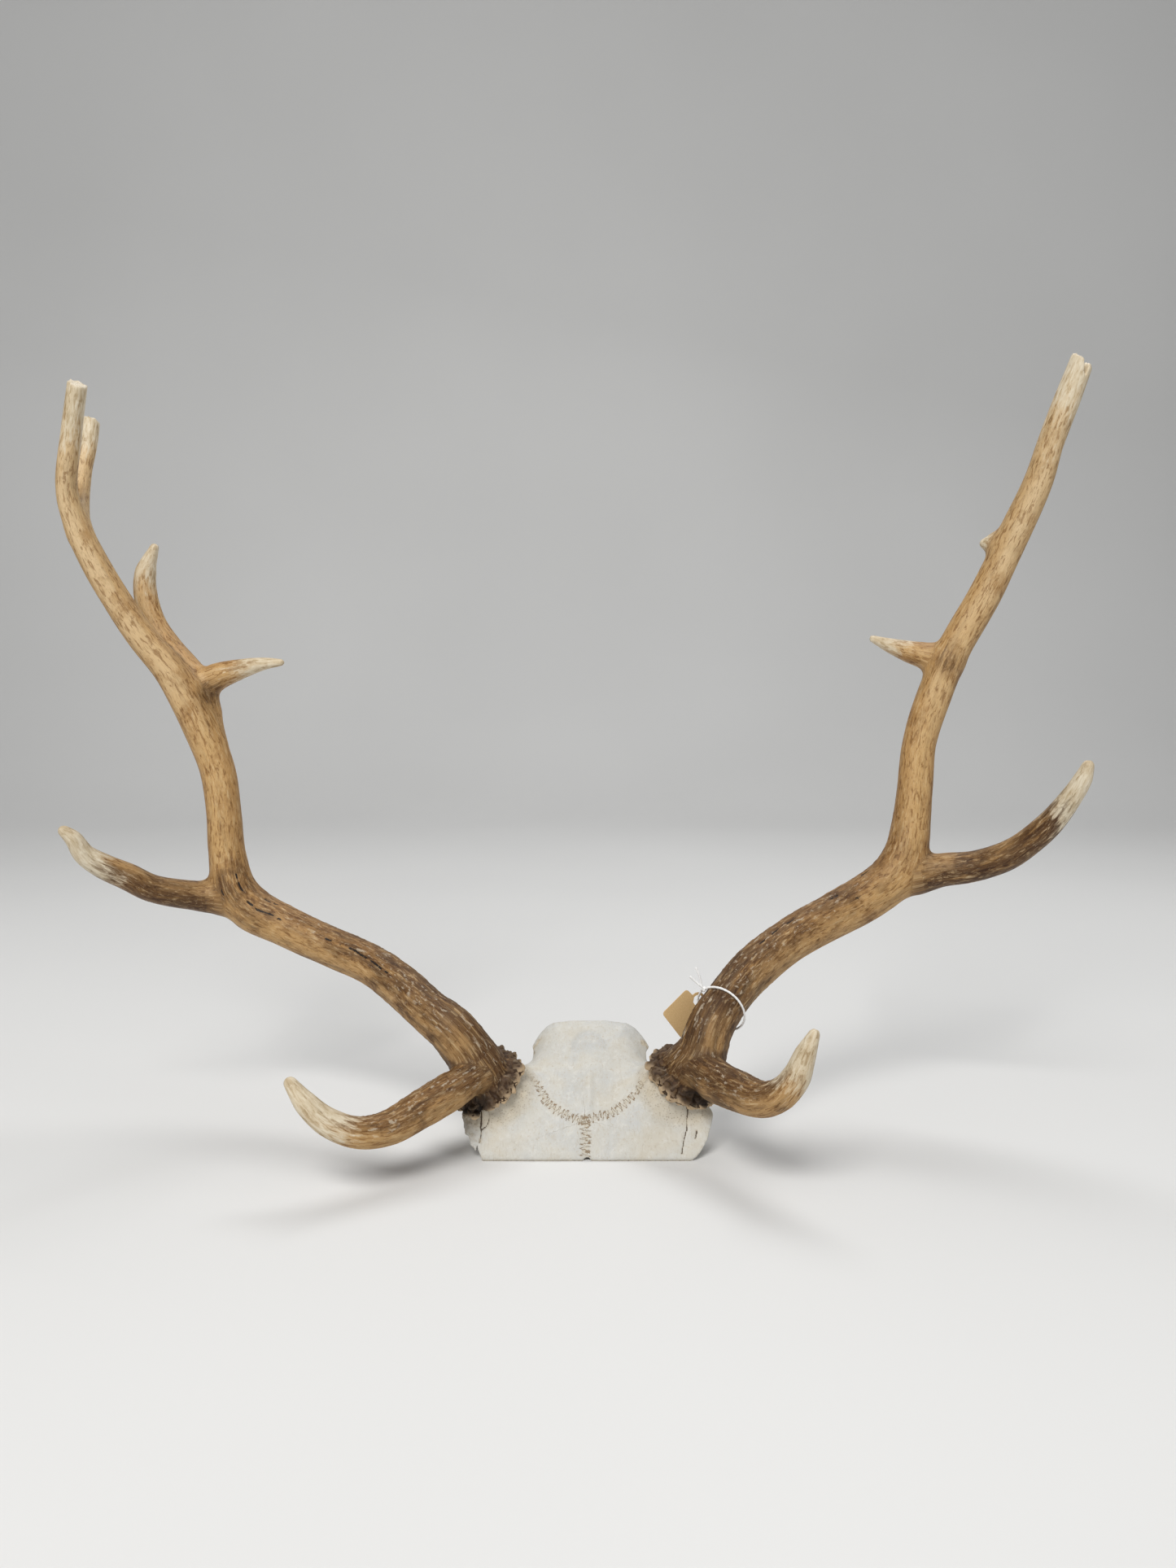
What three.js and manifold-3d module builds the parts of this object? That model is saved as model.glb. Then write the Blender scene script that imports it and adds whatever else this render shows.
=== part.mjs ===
// Skull cap of a deer with both antlers, sawn flat so that it stands on the cut.
// Millimetres, +Z up, +X to the right as seen from the front, +Y towards the nape. The pieces
// are drawn from the front sawn edge, on the surface that the cap stands on, and the whole is
// then set so that the origin is in the middle of the bar of bone behind that edge.
import * as THREE from 'three';
import { mergeVertices } from 'three/addons/utils/BufferGeometryUtils.js';
import Module from 'manifold-3d';

const wasm = await Module();
wasm.setup();

// Distance from the front sawn edge to the middle of the bar that it belongs to.
const FRONT_BAR_MIDDLE = 3.5;

// Clearance that two touching pieces keep.
const GAP = 0.3;

// Facets around and along a branch.
const BEAM_SIDES = 12;
const TINE_SIDES = 9;
const STEPS_PER_STATION = 2;

// Shoulder ring that rounds off a tip: how far it is beyond the last station and how wide, as
// shares of the last radius.
const TIP_SHOULDER = 0.6;
const TIP_SHOULDER_WIDTH = 0.68;

// Low relief of a branch: how far its section departs from a circle, as shares of the radius.
const OVAL_SHARE = 0.02;
const FLUTE_SHARE = 0.015;
const FLUTE_TURN_PER_MM = 0.012;

// Burr: the knobbly ring where an antler meets its pedicle.
const BURR_RING_RADIUS = 19.5;
const BURR_RIM_RADIUS = 4.2;
const BURR_PEARLS = 19;
const BURR_PEARL_SHARE = 0.24;
const BURR_SEAT = 3.4;
const BURR_RIM_SHARE = 0.86;
const BURR_PEARL_UNEVENNESS = 0.35;
const BURR_FLATNESS = 0.8;
const BURR_SEGMENTS = 38;
const BURR_SIDES = 6;

// Pedicle from deep in the cap up to its seat: depth below the seat, radius, and how far the
// foot leans inwards and back to blend into the forehead.
const PEDICLE_FLARE = [[22, 24, 7], [14, 20.5, 4], [7, 18.3, 1.5], [3, 17.3, 0.4], [-2, 17, 0]];
const PEDICLE_BACKWARD_SHARE = 0.6;
const PEDICLE_SIDES = 18;

// Skull cap.
const CAP_ARCH_POINTS = 26;
const CAP_STEPS_PER_SLICE = 2;
const CAP_BELOW_CUT = 4;
const CAVITY_ARCH_POINTS = 14;
const CAVITY_STEPS_PER_SLICE = 1;

// Tag and string.
const STRING_DIAMETER = 1.25;
const STRING_SIDES = 8;
const STRING_STEP = 3.75;
const LOOP_CENTRE = new THREE.Vector3(79, 23, 84);
const LOOP_AXIS = new THREE.Vector3(0.6, 0.55, 0.58).normalize();
const LOOP_BACK = new THREE.Vector3(-0.17, 0.8, -0.58);
const LOOP_FRONT_RADIUS = 14.3;
const LOOP_BACK_RADIUS = 16.2;
const LOOP_TILT = 4;
const LOOP_POINTS = 30;
const KNOT_ANGLE = 12;
const KNOT_REACH = 15.1;
const KNOT_RADIUS = 1.7;
const STRING_ENDS = [[-8.4, -1, 8], [-5, -0.5, 13.2]];
const STRING_END_BEND = new THREE.Vector3(0.4, 0, -0.4);
const TAG_HOLE_ANGLE = -30;
const TAG_HOLE_REACH = 15.9;
const TAG_TURN = 32;
const TAG_LEAN = 14;
const TAG_THICKNESS = 0.5;
const TAG_HALF_WIDTH = 10.5;
const TAG_SIDE_LENGTH = 20.8;
const TAG_SHOULDER = 1.5;
const TAG_SHOULDER_RISE = 0.4;
const TAG_NOTCH = [5, 0.8];
const TAG_HEAD_RADIUS = 4.9;
const TAG_CORNER_RADIUS = 2;
const TAG_HOLE_RADIUS = 2.7;

// Stations along each branch: x, y, z of its centre line and its radius there. The first
// station of a tine lies inside the branch that it grows from.
const BRANCHES = {
  left_beam: [
    [-58.4, 25, 36.6, 17], [-61.4, 22.5, 41.6, 17.2], [-69, 16.5, 58.5, 15], [-79, 16, 72, 14.3],
    [-94, 25, 81, 13.2], [-114, 41, 93, 13], [-135, 55, 103, 12.4], [-165, 68, 112, 12.4],
    [-194, 76, 123, 13], [-213, 79, 132, 14.2], [-224, 80, 145, 13.6], [-229, 82, 168, 11.6],
    [-231, 84, 192, 11.1], [-236, 88, 221, 11.1], [-247, 88, 250, 11.1], [-262, 86, 281, 10.2],
    [-281, 83, 307, 9.4], [-301, 76, 344, 8.6], [-312, 71, 372, 7.7], [-315, 66, 392, 6.3],
    [-308, 58, 420, 6.1], [-299, 49, 450, 5.7],
  ],
  left_brow_tine: [
    [-62, 12, 49, 13.5], [-78, -8, 44, 10.8], [-93, -22, 39, 10.2], [-108, -35, 34, 9.5],
    [-123, -46, 35, 8.4], [-138, -52, 43, 7.6], [-149, -54, 54, 6.2], [-157, -54, 65, 3.6],
  ],
  left_middle_tine: [
    [-222, 79, 139, 12.6], [-233, 77, 140, 11], [-247, 72, 142, 9.2], [-268, 58, 149, 8.3],
    [-279, 48, 158, 8.2], [-290, 39, 166, 7.6], [-298, 32, 174, 6.3], [-302, 27, 184, 5],
    [-306, 24, 189, 3.4],
  ],
  left_rear_top_tip: [
    [-311, 73, 366, 6.8], [-314, 80, 379, 6.2], [-317, 89, 392, 5.6], [-318, 98, 410, 5.4],
    [-317, 105, 427, 5.3], [-317, 110, 442, 5.4],
  ],
  left_back_tine: [
    [-237, 91, 238, 6.5], [-243, 96, 256, 8.6], [-251, 100, 275, 10], [-269, 104, 297, 8.6],
    [-280, 107, 314, 7.6], [-285, 108, 333, 7.2], [-284, 107, 346, 6.4], [-277, 104, 361, 2.8],
  ],
  left_inner_tine: [
    [-250, 98, 272, 10.5], [-237, 97, 279, 8.8], [-224, 94, 283, 7], [-206, 89, 287, 4.2],
    [-193, 85, 288, 2.3],
  ],
  right_beam: [
    [55.4, 25, 38.6, 17], [58.4, 22.5, 44.6, 17.2], [66.5, 13.5, 59.5, 14.4], [71.5, 15.5, 74, 13.4],
    [82, 26, 87, 12.7], [97, 40, 100, 13], [122, 56, 116, 13], [154, 70, 130, 13.6],
    [177, 77, 141, 14.5], [193, 80, 153, 14.6], [201, 81, 168, 13.2], [205, 84, 188, 11.8],
    [207, 86, 206, 11], [210, 89, 236, 10.3], [219, 90, 266, 10.7], [230, 89, 295, 10.3],
    [247, 85, 328, 10.1], [263, 77, 368, 9.6], [273, 69, 397, 8.5], [277, 62, 418, 7.7],
    [283, 55, 441, 7.6], [289, 49, 463, 6.8],
  ],
  right_brow_tine: [
    [60, 12, 54, 13.5], [73, -6, 50, 12.3], [85, -26, 50, 11.2], [95, -42, 52, 9.6],
    [103, -52, 59, 8.6], [109, -57, 69, 7.6], [113, -61, 83, 5.7], [117, -63, 94, 3.1],
  ],
  right_middle_tine: [
    [196, 80, 152, 13.5], [208, 78, 154, 12.4], [222, 74, 158, 10.6], [241, 65, 162, 9.7],
    [259, 53, 172, 9], [275, 41, 190, 7.8], [284, 32, 207, 6.5], [289, 27, 219, 5.4],
    [291, 25, 227, 3.6],
  ],
  right_inner_tine: [
    [228, 90, 288, 10.8], [216, 96, 292, 8.8], [205, 98, 295, 7], [192, 97, 299, 4.6],
    [181, 95, 303, 2.3],
  ],
  right_snag: [[262, 83, 364, 8.4], [254, 86, 362, 6.6], [248, 88, 362, 3.2]],
};

// Planes that part each beam at its middle fork, and the top of each beam, which is broken.
const LEFT_FORK = { point: [-226, 80.5, 152], direction: [-0.22, 0.09, 0.97] };
const RIGHT_FORK = { point: [203, 82.5, 176], direction: [0.2, 0.12, 0.97] };
const BROKEN_NOTCH_WIDTH = 3.2;
const BROKEN_NOTCH_DEPTH = 8;
const BROKEN_NOTCH_OFFSET = 2;

// Slices of the cap from the front edge to the back one: y, half width on the left and on
// the right, height of the crown, and how boxy the arch is (1 is round, near 0 is square).
const CAP_SLICES = [
  [0, 62, 64, 2.4, 0.16], [4, 69, 68, 9.5, 0.18], [9, 73, 72, 18, 0.24], [15, 75, 75, 26, 0.32],
  [21, 74, 75, 31, 0.4], [29, 68, 68, 36.5, 0.5], [37, 56, 56, 42, 0.6], [46, 45, 45, 48, 0.66],
  [56, 40, 41, 54, 0.64], [66, 37.5, 39.5, 59, 0.6], [73, 36.5, 39, 62, 0.57],
];
const CAVITY_SLICES = [
  [7, 46, 47, 5, 0.3], [12, 48, 49, 14, 0.35], [20, 44, 44, 23, 0.45], [30, 39, 39, 31, 0.6],
  [42, 37, 37, 40, 0.7], [54, 34.5, 36, 48.5, 0.7], [66, 31.5, 34, 54, 0.66],
  [78, 29.5, 33, 58, 0.62],
];

// Eye sockets hollowed out of the sides: centre and half axes of each.
const SOCKETS = [
  { centre: [-84, 40, -8], radii: [39, 33, 38] },
  { centre: [84, 40, -8], radii: [38, 33, 38] },
];

// Rim of the brow as seen from the front, from the socket down to the cut: x, z. The left one
// is broken away in steps, with a crack near its foot; the right one is whole and rounded.
const LEFT_RIM = [
  [-75.5, 27], [-71.7, 13], [-70, 12.4], [-68.2, 7.5], [-64.7, 5], [-64.4, 8.6], [-63.2, 4.5],
  [-61.4, 0],
];
const RIGHT_RIM = [[75.6, 27], [72.6, 18.5], [69.8, 11], [66.4, 6], [62.5, 1.5], [60, 0]];
const RIM_REACH = 28;
const RIM_FRONT = -2;
const RIM_BACK = 28;

// Low flange at each side of the back edge: x, z of its outline on the right.
const CREST_POINTS = [[17, 57], [26, 58.5], [39.5, 45], [35.5, 42.5], [24, 48]];
const CREST_THICKNESS = 5;
const RIGHT_CREST_SHARE = 0.97;
const LEFT_CREST_SHARE = 0.86;

const BONE = { color: '#dcd9cf', roughness: 0.62 };
const ANTLER = { color: '#6f4f2c', roughness: 0.5 };
const TINE = { color: '#9a7746', roughness: 0.42 };
const CARD = { color: '#bd9a62', roughness: 0.9 };
const STRING = { color: '#e9e8e4', roughness: 0.8 };

// A solid from a closed geometry whose shared corners are merged.
function solidFrom(geometry) {
  const bare = geometry.clone();
  bare.deleteAttribute('normal');
  bare.deleteAttribute('uv');
  const merged = mergeVertices(bare, 1e-4);
  return new wasm.Manifold(new wasm.Mesh({
    numProp: 3,
    vertProperties: new Float32Array(merged.attributes.position.array),
    triVerts: new Uint32Array(merged.index.array),
  }));
}

function meshFrom(name, solid, look) {
  const { vertProperties, triVerts } = solid.getMesh();
  const geometry = new THREE.BufferGeometry();
  geometry.setAttribute('position', new THREE.BufferAttribute(vertProperties, 3));
  geometry.setIndex(new THREE.BufferAttribute(triVerts, 1));
  geometry.computeVertexNormals();
  const material = new THREE.MeshStandardMaterial({ ...look, metalness: 0 });
  const mesh = new THREE.Mesh(geometry, material);
  mesh.name = name;
  return mesh;
}

// A closed skin over rings of equal length, with a middle point closing each end.
function skin(rings, startPoint, endPoint) {
  const sides = rings[0].length;
  const corners = [startPoint, ...rings.flat(), endPoint];
  const last = corners.length - 1;
  const faces = [];
  for (let side = 0; side < sides; side += 1) {
    const next = (side + 1) % sides;
    faces.push(0, 1 + next, 1 + side);
    for (let ring = 0; ring < rings.length - 1; ring += 1) {
      const here = 1 + ring * sides;
      const ahead = here + sides;
      faces.push(here + side, here + next, ahead + next);
      faces.push(here + side, ahead + next, ahead + side);
    }
    const lastRing = 1 + (rings.length - 1) * sides;
    faces.push(last, lastRing + side, lastRing + next);
  }
  const geometry = new THREE.BufferGeometry();
  const coordinates = corners.flatMap((corner) => corner.toArray());
  geometry.setAttribute('position', new THREE.Float32BufferAttribute(coordinates, 3));
  geometry.setIndex(faces);
  return geometry;
}

function sectionShare(angle, along) {
  const oval = OVAL_SHARE * Math.cos(2 * angle + 0.7);
  const flute = FLUTE_SHARE * Math.cos(3 * angle + FLUTE_TURN_PER_MM * along);
  return 1 + oval + flute;
}

function sectionRing(centre, across, up, radius, along, sides) {
  const ring = [];
  for (let side = 0; side < sides; side += 1) {
    const angle = (2 * Math.PI * side) / sides;
    const reach = radius * sectionShare(angle, along);
    ring.push(centre.clone()
      .addScaledVector(across, reach * Math.cos(angle))
      .addScaledVector(up, reach * Math.sin(angle)));
  }
  return ring;
}

// A branch as a lofted tube through its stations. grow widens it, and a tip is rounded off.
function branch(stations, { sides, stepsPerStation = STEPS_PER_STATION, grow = 0, roundTip }) {
  const points = stations.map(([x, y, z]) => new THREE.Vector3(x, y, z));
  const curve = new THREE.CatmullRomCurve3(points, false, 'centripetal');
  const spans = stations.length - 1;
  const steps = spans * stepsPerStation;
  const rings = [];
  let up = new THREE.Vector3(0, 0, 1);
  let previous = points[0];
  let along = 0;
  let centre;
  let tangent;
  let across;
  let radius;
  for (let step = 0; step <= steps; step += 1) {
    const place = (step / steps) * spans;
    const station = Math.min(Math.floor(place), spans - 1);
    const share = place - station;
    centre = curve.getPoint(step / steps);
    tangent = curve.getTangent(step / steps);
    along += centre.distanceTo(previous);
    previous = centre;
    radius = THREE.MathUtils.lerp(stations[station][3], stations[station + 1][3], share) + grow;
    across = new THREE.Vector3().crossVectors(up, tangent).normalize();
    up = new THREE.Vector3().crossVectors(tangent, across).normalize();
    rings.push(sectionRing(centre, across, up, radius, along, sides));
  }
  let end = centre;
  if (roundTip) {
    const shoulder = centre.clone().addScaledVector(tangent, radius * TIP_SHOULDER);
    rings.push(sectionRing(shoulder, across, up, radius * TIP_SHOULDER_WIDTH, along, sides));
    end = centre.clone().addScaledVector(tangent, radius);
  }
  return solidFrom(skin(rings, points[0], end));
}

function beam(name, grow = 0) {
  return branch(BRANCHES[name], { sides: BEAM_SIDES, grow, roundTip: false });
}

function tine(name, roundTip = true, grow = 0) {
  return branch(BRANCHES[name], { sides: TINE_SIDES, grow, roundTip });
}

// The first two stations of a beam give the line of its pedicle, the post that it grows from.
function pedicleFrame(name) {
  const [first, second] = BRANCHES[name].map(([x, y, z]) => new THREE.Vector3(x, y, z));
  const axis = second.clone().sub(first).normalize();
  const across = new THREE.Vector3(0, 1, 0).cross(axis).normalize();
  const up = new THREE.Vector3().crossVectors(axis, across);
  return { seat: first, axis, across, up };
}

function burrPearl(turn) {
  const unevenness = 1 + BURR_PEARL_UNEVENNESS * Math.sin(5 * turn + 1);
  return Math.abs(Math.sin((BURR_PEARLS * turn) / 2)) * unevenness;
}

// Knobbly ring around the foot of an antler.
function burr(name, grow = 0) {
  const { seat, axis, across, up } = pedicleFrame(name);
  const centre = seat.clone().addScaledVector(axis, BURR_SEAT);
  const corners = [];
  const faces = [];
  for (let segment = 0; segment < BURR_SEGMENTS; segment += 1) {
    const turn = (2 * Math.PI * segment) / BURR_SEGMENTS;
    const outward = across.clone().multiplyScalar(Math.cos(turn)).addScaledVector(up, Math.sin(turn));
    const rim = BURR_RIM_RADIUS * (BURR_RIM_SHARE + BURR_PEARL_SHARE * burrPearl(turn)) + grow;
    for (let side = 0; side < BURR_SIDES; side += 1) {
      const around = (2 * Math.PI * side) / BURR_SIDES;
      corners.push(centre.clone()
        .addScaledVector(outward, BURR_RING_RADIUS + rim * Math.cos(around))
        .addScaledVector(axis, rim * BURR_FLATNESS * Math.sin(around)));
      const nextSegment = ((segment + 1) % BURR_SEGMENTS) * BURR_SIDES;
      const nextSide = (side + 1) % BURR_SIDES;
      const here = segment * BURR_SIDES;
      faces.push(here + side, nextSegment + side, nextSegment + nextSide);
      faces.push(here + side, nextSegment + nextSide, here + nextSide);
    }
  }
  const geometry = new THREE.BufferGeometry();
  const coordinates = corners.flatMap((corner) => corner.toArray());
  geometry.setAttribute('position', new THREE.Float32BufferAttribute(coordinates, 3));
  geometry.setIndex(faces);
  return solidFrom(geometry);
}

// A big block whose lower face passes through a point, square to a direction.
function blockBeyond(point, direction, offset) {
  const size = 1000;
  const block = new THREE.BoxGeometry(size, size, size);
  const normal = new THREE.Vector3(...direction).normalize();
  block.translate(0, 0, size / 2 + offset);
  block.applyQuaternion(new THREE.Quaternion().setFromUnitVectors(new THREE.Vector3(0, 0, 1), normal));
  block.translate(...point);
  return solidFrom(block);
}

// Everything outside one side of the brow's rim.
function besideRim(rim, side) {
  const outer = side * (Math.abs(rim[0][0]) + RIM_REACH);
  const foot = rim[rim.length - 1][0];
  const corners = [[outer, rim[0][1]], ...rim, [foot, -2 * CAP_BELOW_CUT], [outer, -2 * CAP_BELOW_CUT]];
  const outline = new THREE.Shape(corners.map(([x, z]) => new THREE.Vector2(x, z)));
  const block = new THREE.ExtrudeGeometry(outline, {
    depth: RIM_BACK - RIM_FRONT, bevelEnabled: false,
  });
  block.rotateX(Math.PI / 2);
  block.translate(0, RIM_BACK, 0);
  return solidFrom(block);
}

function lowerBeam(name, fork) {
  const { seat, axis } = pedicleFrame(name);
  return beam(name)
    .intersect(blockBeyond(seat.toArray(), axis.toArray(), 0))
    .subtract(blockBeyond(fork.point, fork.direction, -GAP / 2))
    .add(burr(name));
}

function upperBeam(name, fork) {
  return beam(name).intersect(blockBeyond(fork.point, fork.direction, GAP / 2));
}

// The right antler's top is split, so a wedge is cut out of it along the grain.
function splitTop(solid, name) {
  const stations = BRANCHES[name];
  const top = new THREE.Vector3(...stations[stations.length - 1]);
  const below = new THREE.Vector3(...stations[stations.length - 2]);
  const grain = top.clone().sub(below).normalize();
  const outline = new THREE.Shape();
  outline.moveTo(0, -BROKEN_NOTCH_DEPTH);
  outline.lineTo(BROKEN_NOTCH_WIDTH, 1);
  outline.lineTo(-BROKEN_NOTCH_WIDTH / 2, 1);
  outline.closePath();
  const reach = 15;
  const wedge = new THREE.ExtrudeGeometry(outline, { depth: 2 * reach, bevelEnabled: false });
  wedge.translate(BROKEN_NOTCH_OFFSET, 0, -reach);
  wedge.rotateX(Math.PI / 2);
  wedge.applyQuaternion(new THREE.Quaternion().setFromUnitVectors(new THREE.Vector3(0, 0, 1), grain));
  wedge.translate(top.x, top.y, top.z);
  return solid.subtract(solidFrom(wedge));
}

// One slice of the cap: an arch from the left foot over the crown to the right foot.
function archRing([y, left, right, crown, boxy], pointCount) {
  const ring = [new THREE.Vector3(-left, y, -CAP_BELOW_CUT)];
  for (let index = 0; index <= pointCount; index += 1) {
    const angle = (Math.PI * index) / pointCount;
    const side = -Math.cos(angle);
    const halfWidth = side < 0 ? left : right;
    const x = Math.sign(side) * halfWidth * Math.abs(side) ** boxy;
    const z = crown * Math.max(Math.sin(angle), 0) ** boxy;
    ring.push(new THREE.Vector3(x, y, z));
  }
  ring.push(new THREE.Vector3(right, y, -CAP_BELOW_CUT));
  return ring;
}

// An arched body through its slices, with smooth values between them.
function archedBody(slices, pointCount, stepsPerSlice) {
  const valueCurves = new THREE.CatmullRomCurve3(
    slices.map(([y, left, right]) => new THREE.Vector3(y, left, right)), false, 'catmullrom', 0.5);
  const shapeCurves = new THREE.CatmullRomCurve3(
    slices.map(([y, , , crown, boxy]) => new THREE.Vector3(y, crown, boxy * 100)),
    false, 'catmullrom', 0.5);
  const steps = (slices.length - 1) * stepsPerSlice;
  const rings = [];
  for (let step = 0; step <= steps; step += 1) {
    const widths = valueCurves.getPoint(step / steps);
    const shape = shapeCurves.getPoint(step / steps);
    rings.push(archRing([widths.x, widths.y, widths.z, shape.y, shape.z / 100], pointCount));
  }
  const front = new THREE.Vector3(0, slices[0][0], 0);
  const back = new THREE.Vector3(0, slices[slices.length - 1][0], 5);
  return solidFrom(skin(rings, front, back));
}

function pedicle(name) {
  const { seat, axis } = pedicleFrame(name);
  const stations = PEDICLE_FLARE.map(([depth, radius, inward]) => {
    const centre = seat.clone().addScaledVector(axis, -depth);
    const x = centre.x - Math.sign(centre.x) * inward;
    return [x, centre.y + inward * PEDICLE_BACKWARD_SHARE, centre.z, radius];
  });
  const post = branch(stations, { sides: PEDICLE_SIDES, stepsPerStation: 1, roundTip: false });
  return post.subtract(blockBeyond(seat.toArray(), axis.toArray(), -GAP));
}

function socket({ centre, radii }) {
  const ball = new THREE.SphereGeometry(1, 20, 12);
  ball.scale(...radii);
  ball.translate(...centre);
  return solidFrom(ball);
}

// Low flange left on each side of the back edge, where the saw crossed a bony crest.
function crest(side, backEdge) {
  const outline = new THREE.Shape(CREST_POINTS.map(([x, z]) => new THREE.Vector2(side * x, z)));
  const plate = new THREE.ExtrudeGeometry(outline, { depth: CREST_THICKNESS, bevelEnabled: false });
  plate.rotateX(Math.PI / 2);
  plate.translate(0, backEdge, 0);
  return solidFrom(plate);
}

function skullCap() {
  const backEdge = CAP_SLICES[CAP_SLICES.length - 1][0];
  let cap = archedBody(CAP_SLICES, CAP_ARCH_POINTS, CAP_STEPS_PER_SLICE);
  for (const name of ['left_beam', 'right_beam']) {
    cap = cap.add(pedicle(name));
  }
  cap = cap.add(crest(RIGHT_CREST_SHARE, backEdge)).add(crest(-LEFT_CREST_SHARE, backEdge));
  cap = cap.subtract(archedBody(CAVITY_SLICES, CAVITY_ARCH_POINTS, CAVITY_STEPS_PER_SLICE));
  for (const hollow of SOCKETS) {
    cap = cap.subtract(socket(hollow));
  }
  cap = cap.subtract(besideRim(LEFT_RIM, -1)).subtract(besideRim(RIGHT_RIM, 1));
  for (const name of ['left_beam', 'right_beam']) {
    cap = cap.subtract(burr(name, GAP));
  }
  return cap.intersect(blockBeyond([0, 0, 0], [0, 0, 1], 0));
}

// Frame of the string's loop: along the beam, towards its back, and to the side of the knot.
const loopBack = LOOP_BACK.clone().addScaledVector(LOOP_AXIS, -LOOP_BACK.dot(LOOP_AXIS)).normalize();
const loopSide = new THREE.Vector3().crossVectors(LOOP_AXIS, loopBack);

// A point beside the loop at an angle from the knot's side over the front, in degrees.
function loopPoint(degrees, reach) {
  const angle = THREE.MathUtils.degToRad(degrees);
  return LOOP_CENTRE.clone()
    .addScaledVector(loopSide, reach * Math.cos(angle))
    .addScaledVector(loopBack, -reach * Math.sin(angle))
    .addScaledVector(LOOP_AXIS, LOOP_TILT * Math.sin(angle));
}

function loopReach(degrees) {
  const front = (1 + Math.sin(THREE.MathUtils.degToRad(degrees))) / 2;
  return THREE.MathUtils.lerp(LOOP_BACK_RADIUS, LOOP_FRONT_RADIUS, front);
}

function stringTube(points) {
  const curve = new THREE.CatmullRomCurve3(points, false, 'centripetal');
  const section = new THREE.Shape();
  for (let side = 0; side < STRING_SIDES; side += 1) {
    const angle = (2 * Math.PI * side) / STRING_SIDES;
    const x = (STRING_DIAMETER / 2) * Math.cos(angle);
    const y = (STRING_DIAMETER / 2) * Math.sin(angle);
    if (side === 0) {
      section.moveTo(x, y);
    } else {
      section.lineTo(x, y);
    }
  }
  section.closePath();
  const steps = Math.ceil(curve.getLength() / STRING_STEP);
  return solidFrom(new THREE.ExtrudeGeometry(section, { steps, extrudePath: curve }));
}

function tagString() {
  const clear = THREE.MathUtils.radToDeg((KNOT_RADIUS + 2 * GAP) / LOOP_FRONT_RADIUS);
  const first = KNOT_ANGLE + clear;
  const last = KNOT_ANGLE + 360 - clear;
  const points = [];
  for (let index = 0; index < LOOP_POINTS; index += 1) {
    const degrees = THREE.MathUtils.lerp(first, last, index / (LOOP_POINTS - 1));
    points.push(loopPoint(degrees, loopReach(degrees)));
  }
  return stringTube(points);
}

// The knot with the two short ends that stand out of it.
function stringKnot() {
  const middle = loopPoint(KNOT_ANGLE, KNOT_REACH);
  const ball = new THREE.SphereGeometry(KNOT_RADIUS, 8, 6);
  ball.translate(...middle.toArray());
  let knot = solidFrom(ball);
  for (const [x, y, z] of STRING_ENDS) {
    const end = middle.clone().add(new THREE.Vector3(x, y, z));
    const bend = middle.clone().lerp(end, 0.5).add(STRING_END_BEND);
    knot = knot.add(stringTube([middle, bend, end]));
  }
  return knot;
}

// Card tag with a round head that has the hole, drawn with the hole at the origin.
function tagOutline() {
  const half = TAG_HALF_WIDTH;
  const corner = TAG_CORNER_RADIUS;
  const top = -TAG_SHOULDER;
  const bottom = top - TAG_SIDE_LENGTH;
  const [notchAcross, notchDown] = TAG_NOTCH;
  const outline = new THREE.Shape();
  outline.moveTo(-notchAcross, -notchDown);
  outline.lineTo(-half + corner, top + TAG_SHOULDER_RISE);
  outline.quadraticCurveTo(-half, top, -half, top - corner);
  outline.lineTo(-half, bottom + corner);
  outline.quadraticCurveTo(-half, bottom, -half + corner, bottom);
  outline.lineTo(half - corner, bottom);
  outline.quadraticCurveTo(half, bottom, half, bottom + corner);
  outline.lineTo(half, top - corner);
  outline.quadraticCurveTo(half, top, half - corner, top + TAG_SHOULDER_RISE);
  outline.lineTo(notchAcross, -notchDown);
  const start = Math.atan2(-notchDown, notchAcross);
  outline.absarc(0, 0, TAG_HEAD_RADIUS, start, Math.PI - start, false);
  outline.closePath();
  const hole = new THREE.Path();
  hole.absarc(0, 0, TAG_HOLE_RADIUS, 0, 2 * Math.PI, true);
  outline.holes.push(hole);
  return outline;
}

function paperTag() {
  const card = new THREE.ExtrudeGeometry(tagOutline(), {
    depth: TAG_THICKNESS, bevelEnabled: false, curveSegments: 5,
  });
  card.translate(0, 0, -TAG_THICKNESS / 2);
  const turn = THREE.MathUtils.degToRad(TAG_TURN);
  const lean = THREE.MathUtils.degToRad(TAG_LEAN);
  const across = loopSide.clone().multiplyScalar(-Math.cos(turn))
    .addScaledVector(loopBack, Math.sin(turn));
  const outward = new THREE.Vector3().crossVectors(LOOP_AXIS, across);
  const upward = LOOP_AXIS.clone().multiplyScalar(Math.cos(lean)).addScaledVector(outward, -Math.sin(lean));
  const facing = new THREE.Vector3().crossVectors(across, upward);
  card.applyMatrix4(new THREE.Matrix4().makeBasis(across, upward, facing));
  card.translate(...loopPoint(TAG_HOLE_ANGLE, TAG_HOLE_REACH).toArray());
  return solidFrom(card);
}

const leftBeam = beam('left_beam', GAP).add(burr('left_beam', GAP));
const rightBeam = beam('right_beam', GAP).add(burr('right_beam', GAP));
const leftInnerTine = tine('left_inner_tine')
  .subtract(leftBeam)
  .subtract(tine('left_back_tine', true, GAP));
const rightUpperBeam = splitTop(upperBeam('right_beam', RIGHT_FORK), 'right_beam')
  .add(tine('right_snag'));

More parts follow.
